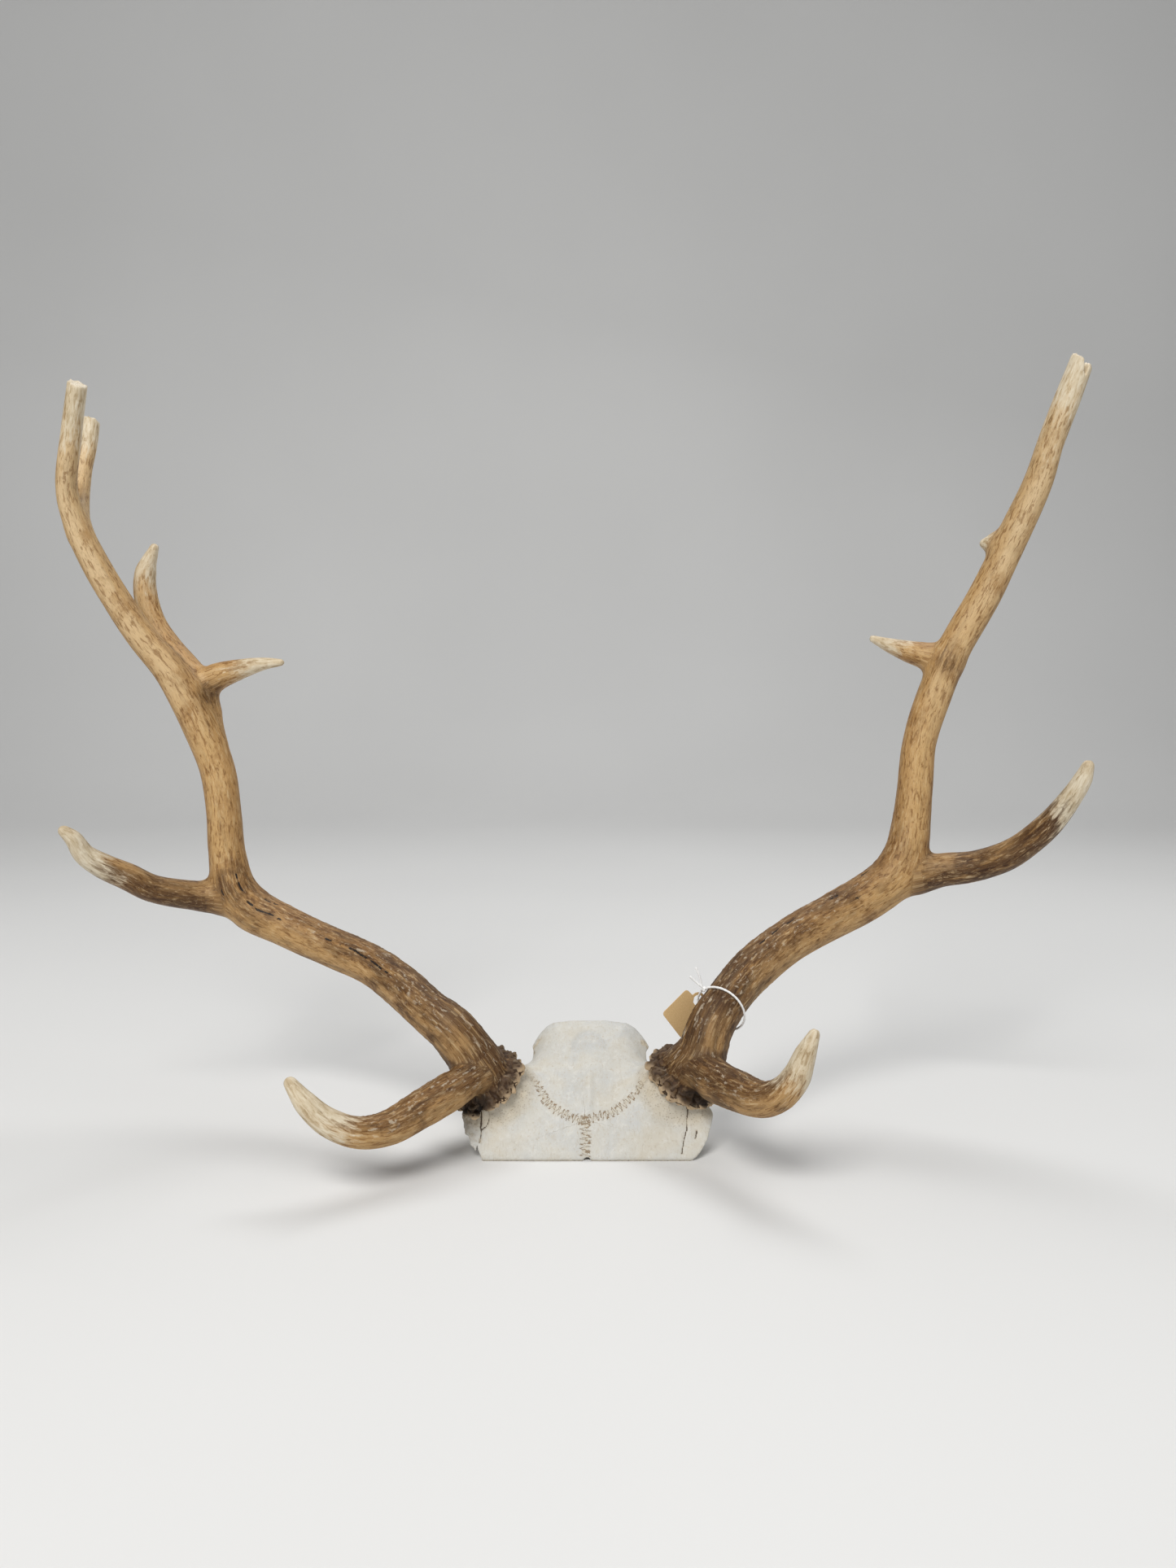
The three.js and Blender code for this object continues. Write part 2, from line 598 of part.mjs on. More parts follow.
const group = new THREE.Group();
group.position.set(0, -FRONT_BAR_MIDDLE, 0);
group.add(
  meshFrom('skull_cap', skullCap(), BONE),
  meshFrom('left_lower_beam', lowerBeam('left_beam', LEFT_FORK), ANTLER),
  meshFrom('left_brow_tine', tine('left_brow_tine').subtract(leftBeam), TINE),
  meshFrom('left_middle_tine', tine('left_middle_tine').subtract(leftBeam), TINE),
  meshFrom('left_upper_beam', upperBeam('left_beam', LEFT_FORK), ANTLER),
  meshFrom('left_rear_top_tip', tine('left_rear_top_tip', false).subtract(leftBeam), TINE),
  meshFrom('left_back_tine', tine('left_back_tine').subtract(leftBeam), TINE),
  meshFrom('left_inner_tine', leftInnerTine, TINE),
  meshFrom('right_lower_beam', lowerBeam('right_beam', RIGHT_FORK), ANTLER),
  meshFrom('right_brow_tine', tine('right_brow_tine').subtract(rightBeam), TINE),
  meshFrom('right_middle_tine', tine('right_middle_tine').subtract(rightBeam), TINE),
  meshFrom('right_upper_beam', rightUpperBeam, ANTLER),
  meshFrom('right_inner_tine', tine('right_inner_tine').subtract(rightBeam), TINE),
  meshFrom('tag_string', tagString(), STRING),
  meshFrom('string_knot', stringKnot(), STRING),
  meshFrom('paper_tag', paperTag(), CARD),
);

export default group;
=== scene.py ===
import math

import bpy
import numpy as np
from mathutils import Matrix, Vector


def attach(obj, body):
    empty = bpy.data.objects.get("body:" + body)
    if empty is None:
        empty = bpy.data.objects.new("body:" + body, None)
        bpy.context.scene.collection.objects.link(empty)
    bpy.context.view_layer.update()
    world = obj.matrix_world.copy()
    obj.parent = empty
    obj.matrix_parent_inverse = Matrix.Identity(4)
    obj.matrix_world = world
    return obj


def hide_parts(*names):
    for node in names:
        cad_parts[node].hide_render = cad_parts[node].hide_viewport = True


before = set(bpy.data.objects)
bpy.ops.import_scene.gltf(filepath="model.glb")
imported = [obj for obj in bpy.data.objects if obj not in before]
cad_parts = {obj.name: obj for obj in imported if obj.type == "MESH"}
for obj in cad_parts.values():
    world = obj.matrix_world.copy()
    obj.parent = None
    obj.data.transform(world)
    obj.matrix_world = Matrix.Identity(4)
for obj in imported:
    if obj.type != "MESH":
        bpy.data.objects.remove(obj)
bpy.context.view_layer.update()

# Millimetres in the tables below are measured from the front sawn edge of the cap, as in the
# solids. The row's origin lies this far behind that edge.
FRONT_BAR_MIDDLE = 3.5
MM = 0.001


def to_row(points):
    """Millimetres from the front edge to metres in the row's frame."""
    return (np.asarray(points, float) - [0, FRONT_BAR_MIDDLE, 0]) * MM


# Camera

IMAGE_HEIGHT = 1927
FOCAL_PIXELS = 1450
SENSOR = 36.0
CAMERA_PLACE = (0, -660, 276.5)
CAMERA_PITCH = 5

camera_data = bpy.data.cameras.new("camera")
camera_data.sensor_width = SENSOR
camera_data.lens = SENSOR * FOCAL_PIXELS / IMAGE_HEIGHT
camera_data.clip_start = 0.01
camera = bpy.data.objects.new("camera", camera_data)
camera.location = to_row(CAMERA_PLACE)
camera.rotation_euler = (math.radians(90 - CAMERA_PITCH), 0, 0)
bpy.context.scene.collection.objects.link(camera)
bpy.context.scene.camera = camera


# Small helpers

def unit(v):
    v = np.asarray(v, float)
    return v / np.linalg.norm(v, axis=-1, keepdims=True)


def smoothstep(low, high, x):
    t = np.clip((x - low) / (high - low), 0, 1)
    return t * t * (3 - 2 * t)


def fade(low, high, x):
    return 1 - smoothstep(low, high, x)


def gap_to(points, place):
    return np.linalg.norm(points - place, axis=1)


def hashed(ix, iy, iz, seed):
    n = ix.astype(np.int64) * 73856093 ^ iy.astype(np.int64) * 19349663
    n = (n ^ iz.astype(np.int64) * 83492791 ^ seed * 961748927) & 0xFFFFFFFF
    n = ((n ^ (n >> 15)) * 0x2C1B3C6D) & 0xFFFFFFFF
    n = ((n ^ (n >> 12)) * 0x297A2D39) & 0xFFFFFFFF
    return ((n ^ (n >> 15)) & 0xFFFFFF) / float(0x1000000)


def noise(p, seed=0):
    """Smooth value noise from -1 to 1 at points with one unit between its knots."""
    p = np.asarray(p, float)
    cell = np.floor(p)
    f = p - cell
    f = f * f * (3 - 2 * f)
    total = np.zeros(len(p))
    for dx in (0, 1):
        wx = f[:, 0] if dx else 1 - f[:, 0]
        for dy in (0, 1):
            wy = f[:, 1] if dy else 1 - f[:, 1]
            for dz in (0, 1):
                wz = f[:, 2] if dz else 1 - f[:, 2]
                total += wx * wy * wz * hashed(cell[:, 0] + dx, cell[:, 1] + dy, cell[:, 2] + dz, seed)
    return 2 * total - 1


def layered(p, octaves, seed=0):
    total = np.zeros(len(p))
    for octave in range(octaves):
        total += noise(np.asarray(p) * 2 ** octave, seed + octave) / 2 ** octave
    return total


def mesh_object(name, points, faces, smooth=True):
    mesh = bpy.data.meshes.new(name)
    mesh.from_pydata(to_row(points).tolist(), [], faces if isinstance(faces, list) else faces.tolist())
    mesh.update()
    if smooth:
        mesh.shade_smooth()
    made = bpy.data.objects.new(name, mesh)
    bpy.context.scene.collection.objects.link(made)
    return made


def give(made, name, values):
    """Stores one number or one vector a vertex on a mesh, for its material."""
    values = np.asarray(values, np.float32)
    kind, key = ("FLOAT", "value") if values.ndim == 1 else ("FLOAT_VECTOR", "vector")
    layer = made.data.attributes.new(name, kind, "POINT")
    layer.data.foreach_set(key, values.ravel())


# Implicit surfaces on a grid

FAR = 30.0


class Grid:
    """A box of distance values, in millimetres, with one value at each corner of its cells."""

    def __init__(self, low, high, cell):
        self.low = np.asarray(low, float)
        self.cell = cell
        self.shape = tuple(np.ceil((np.asarray(high, float) - self.low) / cell).astype(int) + 1)

    def window(self, low, high):
        first = np.clip(np.floor((np.asarray(low) - self.low) / self.cell).astype(int), 0, self.shape)
        last = np.clip(np.ceil((np.asarray(high) - self.low) / self.cell).astype(int) + 1, 0, self.shape)
        return tuple(slice(a, b) for a, b in zip(first, last))

    def axes(self, part=None):
        part = part or tuple(slice(0, n) for n in self.shape)
        lines = [self.low[k] + self.cell * np.arange(s.start, s.stop) for k, s in enumerate(part)]
        return np.meshgrid(*[line.astype(np.float32) for line in lines], indexing="ij", sparse=True)


def blend_union(a, b, reach):
    h = np.maximum(reach - np.abs(a - b), 0) / reach
    return np.minimum(a, b) - h * h * reach * 0.25


def blend_cut(a, b, reach):
    """a without b, with the corner between them rounded."""
    return -blend_union(-a, b, reach)


def from_centre(axes, centre):
    """The three lines of a grid, measured from a centre."""
    return [line - c for line, c in zip(axes, centre)]


def dot(axes, direction):
    x, y, z = axes
    return x * direction[0] + y * direction[1] + z * direction[2]


def length_of(axes):
    x, y, z = axes
    return np.sqrt(x * x + y * y + z * z)


def cone_distance(axes, a, b, ra, rb):
    x, y, z = from_centre(axes, a)
    run = b - a
    share = np.clip(dot((x, y, z), run) / (run @ run), 0, 1)
    apart = (x - share * run[0]) ** 2 + (y - share * run[1]) ** 2 + (z - share * run[2]) ** 2
    return np.sqrt(apart) - (ra + share * (rb - ra))


def surface(value, grid):
    """Points and four-sided faces of the surface where the values change sign."""
    inside = value < 0
    count = np.zeros(tuple(n - 1 for n in value.shape), np.uint8)
    corners = [(i, j, k) for i in (0, 1) for j in (0, 1) for k in (0, 1)]
    for i, j, k in corners:
        count += inside[i:i + count.shape[0], j:j + count.shape[1], k:k + count.shape[2]]
    active = (count > 0) & (count < 8)
    cells = np.argwhere(active)
    index = np.full(active.shape, -1, np.int32)
    index[active] = np.arange(len(cells))
    total = np.zeros((len(cells), 3))
    number = np.zeros(len(cells))
    for axis in range(3):
        step = np.eye(3, dtype=int)[axis]
        for corner in corners:
            if corner[axis]:
                continue
            start = cells + np.array(corner)
            v0 = value[tuple(start.T)]
            v1 = value[tuple((start + step).T)]
            cross = (v0 < 0) != (v1 < 0)
            share = v0[cross] / (v0[cross] - v1[cross])
            total[cross] += start[cross] + share[:, None] * step
            number[cross] += 1
    points = grid.low + grid.cell * total / number[:, None]
    faces = []
    for axis in range(3):
        a, b = np.eye(3, dtype=int)[(axis + 1) % 3], np.eye(3, dtype=int)[(axis + 2) % 3]
        low = [slice(None)] * 3
        high = [slice(None)] * 3
        low[axis] = slice(None, -1)
        high[axis] = slice(1, None)
        s0, s1 = inside[tuple(low)], inside[tuple(high)]
        edges = np.argwhere(s0 != s1)
        edges = edges[(edges[:, (axis + 1) % 3] > 0) & (edges[:, (axis + 2) % 3] > 0)]
        quad = np.stack([index[tuple((edges - a - b).T)], index[tuple((edges - b).T)],
                         index[tuple(edges.T)], index[tuple((edges - a).T)]], axis=1)
        outward = s0[tuple(edges.T)]
        quad[~outward] = quad[~outward][:, ::-1]
        faces.append(quad)
    return points, np.concatenate(faces)


def neighbour_mean(points, faces):
    ends = np.concatenate([faces, np.roll(faces, -1, axis=1)], axis=0).reshape(-1)
    others = np.concatenate([np.roll(faces, -1, axis=1), faces], axis=0).reshape(-1)
    number = np.bincount(ends, minlength=len(points))
    sums = [np.bincount(ends, points[others, k], len(points)) for k in range(3)]
    return np.stack(sums, axis=1) / number[:, None]


# A step inward and a slightly larger one back out.
SMOOTHING_WEIGHTS = (0.6, -0.62)


def smoothed(points, faces, rounds):
    """Evens out the steps of the grid without shrinking the shape."""
    for _ in range(rounds):
        for weight in SMOOTHING_WEIGHTS:
            points = points + weight * (neighbour_mean(points, faces) - points)
    return points


def normals_of(points, faces):
    cross = np.cross(points[faces[:, 2]] - points[faces[:, 0]], points[faces[:, 3]] - points[faces[:, 1]])
    sums = [sum(np.bincount(faces[:, c], cross[:, k], len(points)) for c in range(4)) for k in range(3)]
    return unit(np.stack(sums, axis=1) + 1e-12)


def hollowness(points, faces, rounds):
    """How deep each point lies below the mean of its surroundings, in mm; negative on a bump."""
    mean = points
    for _ in range(rounds):
        mean = neighbour_mean(mean, faces)
    return ((mean - points) * normals_of(points, faces)).sum(1)


# Antlers: stations x, y, z of the centre line and the radius there, in mm

BRANCHES = {
    "left_beam": [
        [-58.4, 25, 36.6, 17], [-61.4, 22.5, 41.6, 17.2], [-69, 16.5, 58.5, 15], [-79, 16, 72, 14.3],
        [-94, 25, 81, 13.2], [-114, 41, 93, 13], [-135, 55, 103, 12.4], [-165, 68, 112, 12.4],
        [-194, 76, 123, 13], [-213, 79, 132, 14.2], [-224, 80, 145, 13.6], [-229, 82, 168, 11.6],
        [-231, 84, 192, 11.1], [-236, 88, 221, 11.1], [-247, 88, 250, 11.1], [-262, 86, 281, 10.2],
        [-281, 83, 307, 9.4], [-301, 76, 344, 8.6], [-312, 71, 372, 7.7], [-315, 66, 392, 6.3],
        [-308, 58, 420, 6.1], [-299, 49, 450, 5.7],
    ],
    "left_brow_tine": [
        [-62, 12, 49, 13.5], [-78, -8, 44, 10.8], [-93, -22, 39, 10.2], [-108, -35, 34, 9.5],
        [-123, -46, 35, 8.4], [-138, -52, 43, 7.6], [-149, -54, 54, 6.2], [-157, -54, 65, 3.6],
    ],
    "left_middle_tine": [
        [-222, 79, 139, 12.6], [-233, 77, 140, 11], [-247, 72, 142, 9.2], [-268, 58, 149, 8.3],
        [-279, 48, 158, 8.2], [-290, 39, 166, 7.6], [-298, 32, 174, 6.3], [-302, 27, 184, 5],
        [-306, 24, 189, 3.4],
    ],
    "left_rear_top_tip": [
        [-311, 73, 366, 6.8], [-314, 80, 379, 6.2], [-317, 89, 392, 5.6], [-318, 98, 410, 5.4],
        [-317, 105, 427, 5.3], [-317, 110, 442, 5.4],
    ],
    "left_back_tine": [
        [-237, 91, 238, 6.5], [-243, 96, 256, 8.6], [-251, 100, 275, 10], [-269, 104, 297, 8.6],
        [-280, 107, 314, 7.6], [-285, 108, 333, 7.2], [-284, 107, 346, 6.4], [-277, 104, 361, 2.8],
    ],
    "left_inner_tine": [
        [-250, 98, 272, 10.5], [-237, 97, 279, 8.8], [-224, 94, 283, 7], [-206, 89, 287, 4.2],
        [-193, 85, 288, 2.3],
    ],
    "right_beam": [
        [55.4, 25, 38.6, 17], [58.4, 22.5, 44.6, 17.2], [66.5, 13.5, 59.5, 14.4],
        [71.5, 15.5, 74, 13.4], [82, 26, 87, 12.7], [97, 40, 100, 13], [122, 56, 116, 13],
        [154, 70, 130, 13.6], [177, 77, 141, 14.5], [193, 80, 153, 14.6], [201, 81, 168, 13.2],
        [205, 84, 188, 11.8], [207, 86, 206, 11], [210, 89, 236, 10.3], [219, 90, 266, 10.7],
        [230, 89, 295, 10.3], [247, 85, 328, 10.1], [263, 77, 368, 9.6], [273, 69, 397, 8.5],
        [277, 62, 418, 7.7], [283, 55, 441, 7.6], [289, 49, 463, 6.8],
    ],
    "right_brow_tine": [
        [60, 12, 54, 13.5], [73, -6, 50, 12.3], [85, -26, 50, 11.2], [95, -42, 52, 9.6],
        [103, -52, 59, 8.6], [109, -57, 69, 7.6], [113, -61, 83, 5.7], [117, -63, 94, 3.1],
    ],
    "right_middle_tine": [
        [196, 80, 152, 13.5], [208, 78, 154, 12.4], [222, 74, 158, 10.6], [241, 65, 162, 9.7],
        [259, 53, 172, 9], [275, 41, 190, 7.8], [284, 32, 207, 6.5], [289, 27, 219, 5.4],
        [291, 25, 227, 3.6],
    ],
    "right_inner_tine": [
        [228, 90, 288, 10.8], [216, 96, 292, 8.8], [205, 98, 295, 7], [192, 97, 299, 4.6],
        [181, 95, 303, 2.3],
    ],
    "right_snag": [[262, 83, 364, 8.4], [254, 86, 362, 6.6], [248, 88, 362, 3.2]],
}
# Distance from the burr, along the antler, at which each branch begins.
BRANCH_STARTS = {
    "left_beam": 0, "left_brow_tine": 20, "left_middle_tine": 205, "left_rear_top_tip": 465,
    "left_back_tine": 320, "left_inner_tine": 355, "right_beam": 0, "right_brow_tine": 20,
    "right_middle_tine": 190, "right_inner_tine": 340, "right_snag": 425,
}
# How far a tine's tone is shifted towards the burr's darker one, in mm along the antler. On the middle tines
# this darkening is painted shade.
DARKER = {"left_middle_tine": 225, "right_middle_tine": 320, "left_brow_tine": -50,
          "right_brow_tine": 10, "left_inner_tine": 90, "left_back_tine": 60, "right_inner_tine": 90}
# Pits between the burrs and the roots of the brow tines, painted near black with shade: x, y, z and radius.
HOLLOWS = {
    "left": ((-71, 3, 28.5, 4.2), (-66, 1.5, 31.5, 4.4), (-60, 1, 33.5, 3.2), (-63.5, 5, 29, 3)),
    "right": ((70, 4.5, 33, 4.2), (65, 2.8, 35.8, 4.4), (59, 2.2, 38, 3.2), (63, 6.5, 34, 3)),
}
# Darker patches on the antlers, round the forks and beside the pits under the brow tines: x, y, z, radius
# and strength.
DARK_PATCHES = {
    "left": ((-67, -1, 34, 12, 0.75), (-220, 68, 150, 17, 0.75), (-205, 64, 137, 15, 0.5),
             (-239, 88, 268, 12, 0.7), (-262, 62, 147, 22, 0.45), (-148, 40, 112, 12, 0.5)),
    "right": ((66, -1, 39, 13, 0.8), (158, 66, 146, 13, 0.55), (226, 84, 289, 12, 0.7),
              (244, 58, 164, 20, 0.6), (120, 48, 127, 14, 0.5), (262, 74, 362, 8, 0.4)),
}
BROKEN_ENDS = ("left_beam", "left_rear_top_tip", "right_beam")
# Spans over which each tip turns pale, from the tip: fully pale, and back to brown.
PALE_TIPS = {
    "left_beam": (0, 62), "left_brow_tine": (8, 66), "left_middle_tine": (12, 58),
    "left_rear_top_tip": (0, 40), "left_back_tine": (2, 52), "left_inner_tine": (8, 58),
    "right_beam": (-20, 90), "right_brow_tine": (8, 60), "right_middle_tine": (6, 60),
    "right_inner_tine": (4, 44), "right_snag": (-4, 20),
}

ANTLER_CELL = 1.1
FORK_BLEND = 7.0
CURVE_STEPS = 6
ROOT_SHARE = 0.62
BURR_SEAT = 3.4
BURR_RADIUS = 18.0
BURR_FLATNESS = 0.85
BURR_THICKNESS = 3.0
# Rings of knobs on a burr: how many, their distance from its middle, their height and their radius.
BURR_RINGS = ((21, 20.6, 3.6, 3.3), (19, 18.8, 0.9, 2.5), (17, 18.2, 6.6, 2.6))
BURR_SEEDS = {"left": 3, "right": 11}
SEARCH_BLOCK = 5000
AGE_SPAN = 500


def curve_through(stations, steps):
    """Points on a centripetal curve through the stations, with evenly changing radii."""
    p = np.array(stations, float)
    ends = np.vstack([2 * p[0, :3] - p[1, :3], p[:, :3], 2 * p[-1, :3] - p[-2, :3]])
    made = []
    for i in range(len(p) - 1):
        a, b, c, d = ends[i:i + 4]
        t0, t1, t2 = (np.sqrt(np.linalg.norm(v)) for v in (b - a, c - b, d - c))
        m1 = ((b - a) / t0 - (c - a) / (t0 + t1) + (c - b) / t1) * t1
        m2 = ((c - b) / t1 - (d - b) / (t1 + t2) + (d - c) / t2) * t1
        for t in np.arange(steps) / steps:
            place = b + t * m1 + t * t * (3 * c - 3 * b - 2 * m1 - m2) + t ** 3 * (2 * b - 2 * c + m1 + m2)
            made.append([*place, *(p[i, 3:] * (1 - t) + p[i + 1, 3:] * t)])
    made.append(p[-1])
    return np.array(made)


class Branch:
    def __init__(self, name):
        self.name = name
        stations = [list(station) for station in BRANCHES[name]]
        if not name.endswith("_beam"):
            stations[0][3] *= ROOT_SHARE
        line = curve_through(stations, CURVE_STEPS)
        self.centre, self.radius = line[:, :3], line[:, 3]
        lengths = np.linalg.norm(np.diff(self.centre, axis=0), axis=1)
        self.along = np.concatenate([[0], np.cumsum(lengths)])
        self.tangent = unit(np.gradient(self.centre, axis=0))
        up = np.array([0.0, 0, 1])
        self.across, self.up = np.zeros_like(self.centre), np.zeros_like(self.centre)
        for i, tangent in enumerate(self.tangent):
            self.across[i] = unit(np.cross(up, tangent))
            up = unit(np.cross(tangent, self.across[i]))
            self.up[i] = up

    def locate(self, points):
        """Signed distance, distance along, angle and radius of the nearest place, for each point."""
        a, run = self.centre[:-1], np.diff(self.centre, axis=0)
        square = (run * run).sum(1)
        out = np.zeros((4, len(points)))
        for start in range(0, len(points), SEARCH_BLOCK):
            block = slice(start, start + SEARCH_BLOCK)
            p = points[block]
            share = np.clip((p @ run.T - (a * run).sum(1)) / square, 0, 1)
            gap = p[:, None, :] - (a + share[:, :, None] * run)
            radius = self.radius[:-1] * (1 - share) + self.radius[1:] * share
            apart = np.sqrt((gap ** 2).sum(2)) - radius
            j = apart.argmin(1)
            i = np.arange(len(p))
            off, t = gap[i, j], share[i, j]
            across = self.across[j] * (1 - t[:, None]) + self.across[j + 1] * t[:, None]
            up = self.up[j] * (1 - t[:, None]) + self.up[j + 1] * t[:, None]
            angle = np.arctan2((off * up).sum(1), (off * across).sum(1))
            out[:, block] = apart[i, j], self.along[j] * (1 - t) + self.along[j + 1] * t, angle, radius[i, j]
        return out


def pedicle_frame(side):
    first, second = (np.array(s[:3]) for s in BRANCHES[side + "_beam"][:2])
    axis = unit(second - first)
    across = unit(np.cross([0, 1, 0], axis))
    return first, axis, across, np.cross(axis, across)


def burr_pearls(side):
    """Centres and radii of the knobs round the foot of an antler, in three rings."""
    seat, axis, across, up = pedicle_frame(side)
    seed = BURR_SEEDS[side]
    knobs = []
    for ring, (count, reach, height, size) in enumerate(BURR_RINGS):
        for i in range(count):
            key = [np.array([i]), np.array([ring]), np.array([0])]
            a, b, c, d = (float(hashed(*key, seed + k)[0]) for k in range(4))
            turn = 2 * math.pi * (i + 0.5 * (ring % 2) + 0.5 * (a - 0.5)) / count
            outward = across * math.cos(turn) + up * math.sin(turn)
            place = seat + axis * (height + 1.6 * (b - 0.5)) + outward * (reach + 1.8 * (c - 0.5))
            knobs.append((place, size * (0.72 + 0.5 * d)))
    return knobs


def antler_field(side, branches):
    margin = FORK_BLEND + 3
    every = np.vstack([np.c_[b.centre, b.radius] for b in branches])
    seat, axis, _, _ = pedicle_frame(side)
    low = np.minimum((every[:, :3] - every[:, 3:]).min(0), seat - 30) - 3
    high = np.maximum((every[:, :3] + every[:, 3:]).max(0), seat + 30) + 3
    grid = Grid(low, high, ANTLER_CELL)
    total = np.full(grid.shape, FAR, np.float32)
    for branch in branches:
        reach = branch.radius.max() + margin + 2
        part = grid.window((branch.centre - reach).min(0), (branch.centre + reach).max(0))
        shape = tuple(s.stop - s.start for s in part)
        own = np.full(shape, FAR, np.float32)
        origin = np.array([s.start for s in part])
        for i in range(len(branch.centre) - 1):
            a, b = branch.centre[i], branch.centre[i + 1]
            ra, rb = branch.radius[i], branch.radius[i + 1]
            far = max(ra, rb) + margin
            near = grid.window(np.minimum(a, b) - far, np.maximum(a, b) + far)
            inner = tuple(slice(s.start - o, s.stop - o) for s, o in zip(near, origin))
            own[inner] = np.minimum(own[inner], cone_distance(grid.axes(near), a, b, ra, rb))
        if branch.name in BROKEN_ENDS:
            own = cut_end(branch, own, grid.axes(part))
        if branch.name.endswith("_beam"):
            own = np.maximum(own, -dot(from_centre(grid.axes(part), seat), axis))
        total[part] = blend_union(total[part], own, FORK_BLEND)
    ring = np.full(grid.shape, FAR, np.float32)
    for place, size in burr_pearls(side):
        near = grid.window(place - size - 8, place + size + 8)
        knob = length_of(from_centre(grid.axes(near), place)) - size
        ring[near] = blend_union(ring[near], knob, 1.2)
    near = grid.window(seat - 34, seat + 34)
    x, y, z = from_centre(grid.axes(near), seat + axis * BURR_SEAT)
    lift = dot((x, y, z), axis)
    out = np.sqrt(np.maximum(x * x + y * y + z * z - lift * lift, 0))
    core = np.sqrt((out - BURR_RADIUS) ** 2 + (lift / BURR_FLATNESS) ** 2) - BURR_THICKNESS
    ring[near] = blend_union(ring[near], core, 2.0)
    total[near] = blend_union(total[near], ring[near], 2.5)
    for *middle, size in HOLLOWS[side]:
        near = grid.window(np.array(middle) - 8, np.array(middle) + 8)
        x, y, z = from_centre(grid.axes(near), middle)
        pit = length_of((x, y, z)) - size + 0.8 * np.sin(1.9 * x + y) * np.cos(1.6 * z - x)
        total[near] = blend_cut(total[near], pit, 0.8)
    return total, grid


def cut_end(branch, own, axes):
    """Breaks the end of a branch off across its grain; the right beam's end is also split."""
    end, along = branch.centre[-1], branch.tangent[-1]
    x, y, z = from_centre(axes, end)
    beyond = dot((x, y, z), along)
    rough = 0.7 * np.sin(1.1 * x + 0.6 * y) * np.cos(0.9 * y - 0.4 * x) + 0.35 * np.sin(2.6 * x + 1.9 * y)
    if branch.name == "right_beam":
        beyond = beyond + 0.45 * (x + 1.5)
        own = np.maximum(own, beyond - 1.2 + rough)
        left_wall = -(x + 0.3 + 0.06 * (beyond + 7)) * 0.98
        right_wall = (x - 0.5 - 0.22 * (beyond + 7)) * 0.96
        notch = np.maximum(np.maximum(left_wall, right_wall), -(beyond + 7) * 0.9 + 0.5 * rough)
        return np.maximum(own, -notch)
    slope = 0.16 * x - 0.1 * y if branch.name == "left_beam" else 0.12 * x
    return np.maximum(own, beyond + slope + rough)


def elongated_bumps(angle, along, radius, around, pitch, seed, keep=0.75):
    """Raised flecks along the grain: height from 0 to 1, on a jittered net round a branch."""
    u = angle / (2 * math.pi) * around
    v = along / pitch
    width = 2 * math.pi * radius / around
    best = np.zeros(len(u))
    for du in (-1, 0, 1):
        for dv in (-1, 0, 1):
            cu, cv = np.floor(u) + du, np.floor(v) + dv
            ring = np.mod(cu, around)
            place = [hashed(ring, cv, np.zeros_like(cv), seed + k) for k in range(5)]
            off_u = (u - (cu + 0.15 + 0.7 * place[0])) * width
            off_v = (v - (cv + 0.15 + 0.7 * place[1])) * pitch
            long_half = pitch * (0.18 + 0.34 * place[2])
            wide_half = 0.5 + 0.75 * place[3] ** 2
            fall = 1 - (off_v / long_half) ** 2 - (off_u / wide_half) ** 2
            height = np.clip(fall, 0, 1) ** 0.6 * (0.45 + 0.55 * place[4]) * (place[4] < keep)
            best = np.maximum(best, height)
    return best


# Dark cracks along the grain: branch, where each starts and stops along it, and its angle.
CRACKS = [
    ("left_beam", 178, 213, -0.31), ("left_beam", 210, 236, -0.16), ("left_beam", 218, 231, -0.92),
    ("left_beam", 92, 150, -0.25), ("left_beam", 186, 204, 0.35),
    ("right_beam", 161, 176, -2.62), ("right_beam", 154, 168, 3.1), ("right_beam", 98, 133, 3.02),
    ("right_beam", 176, 194, 2.75),
]


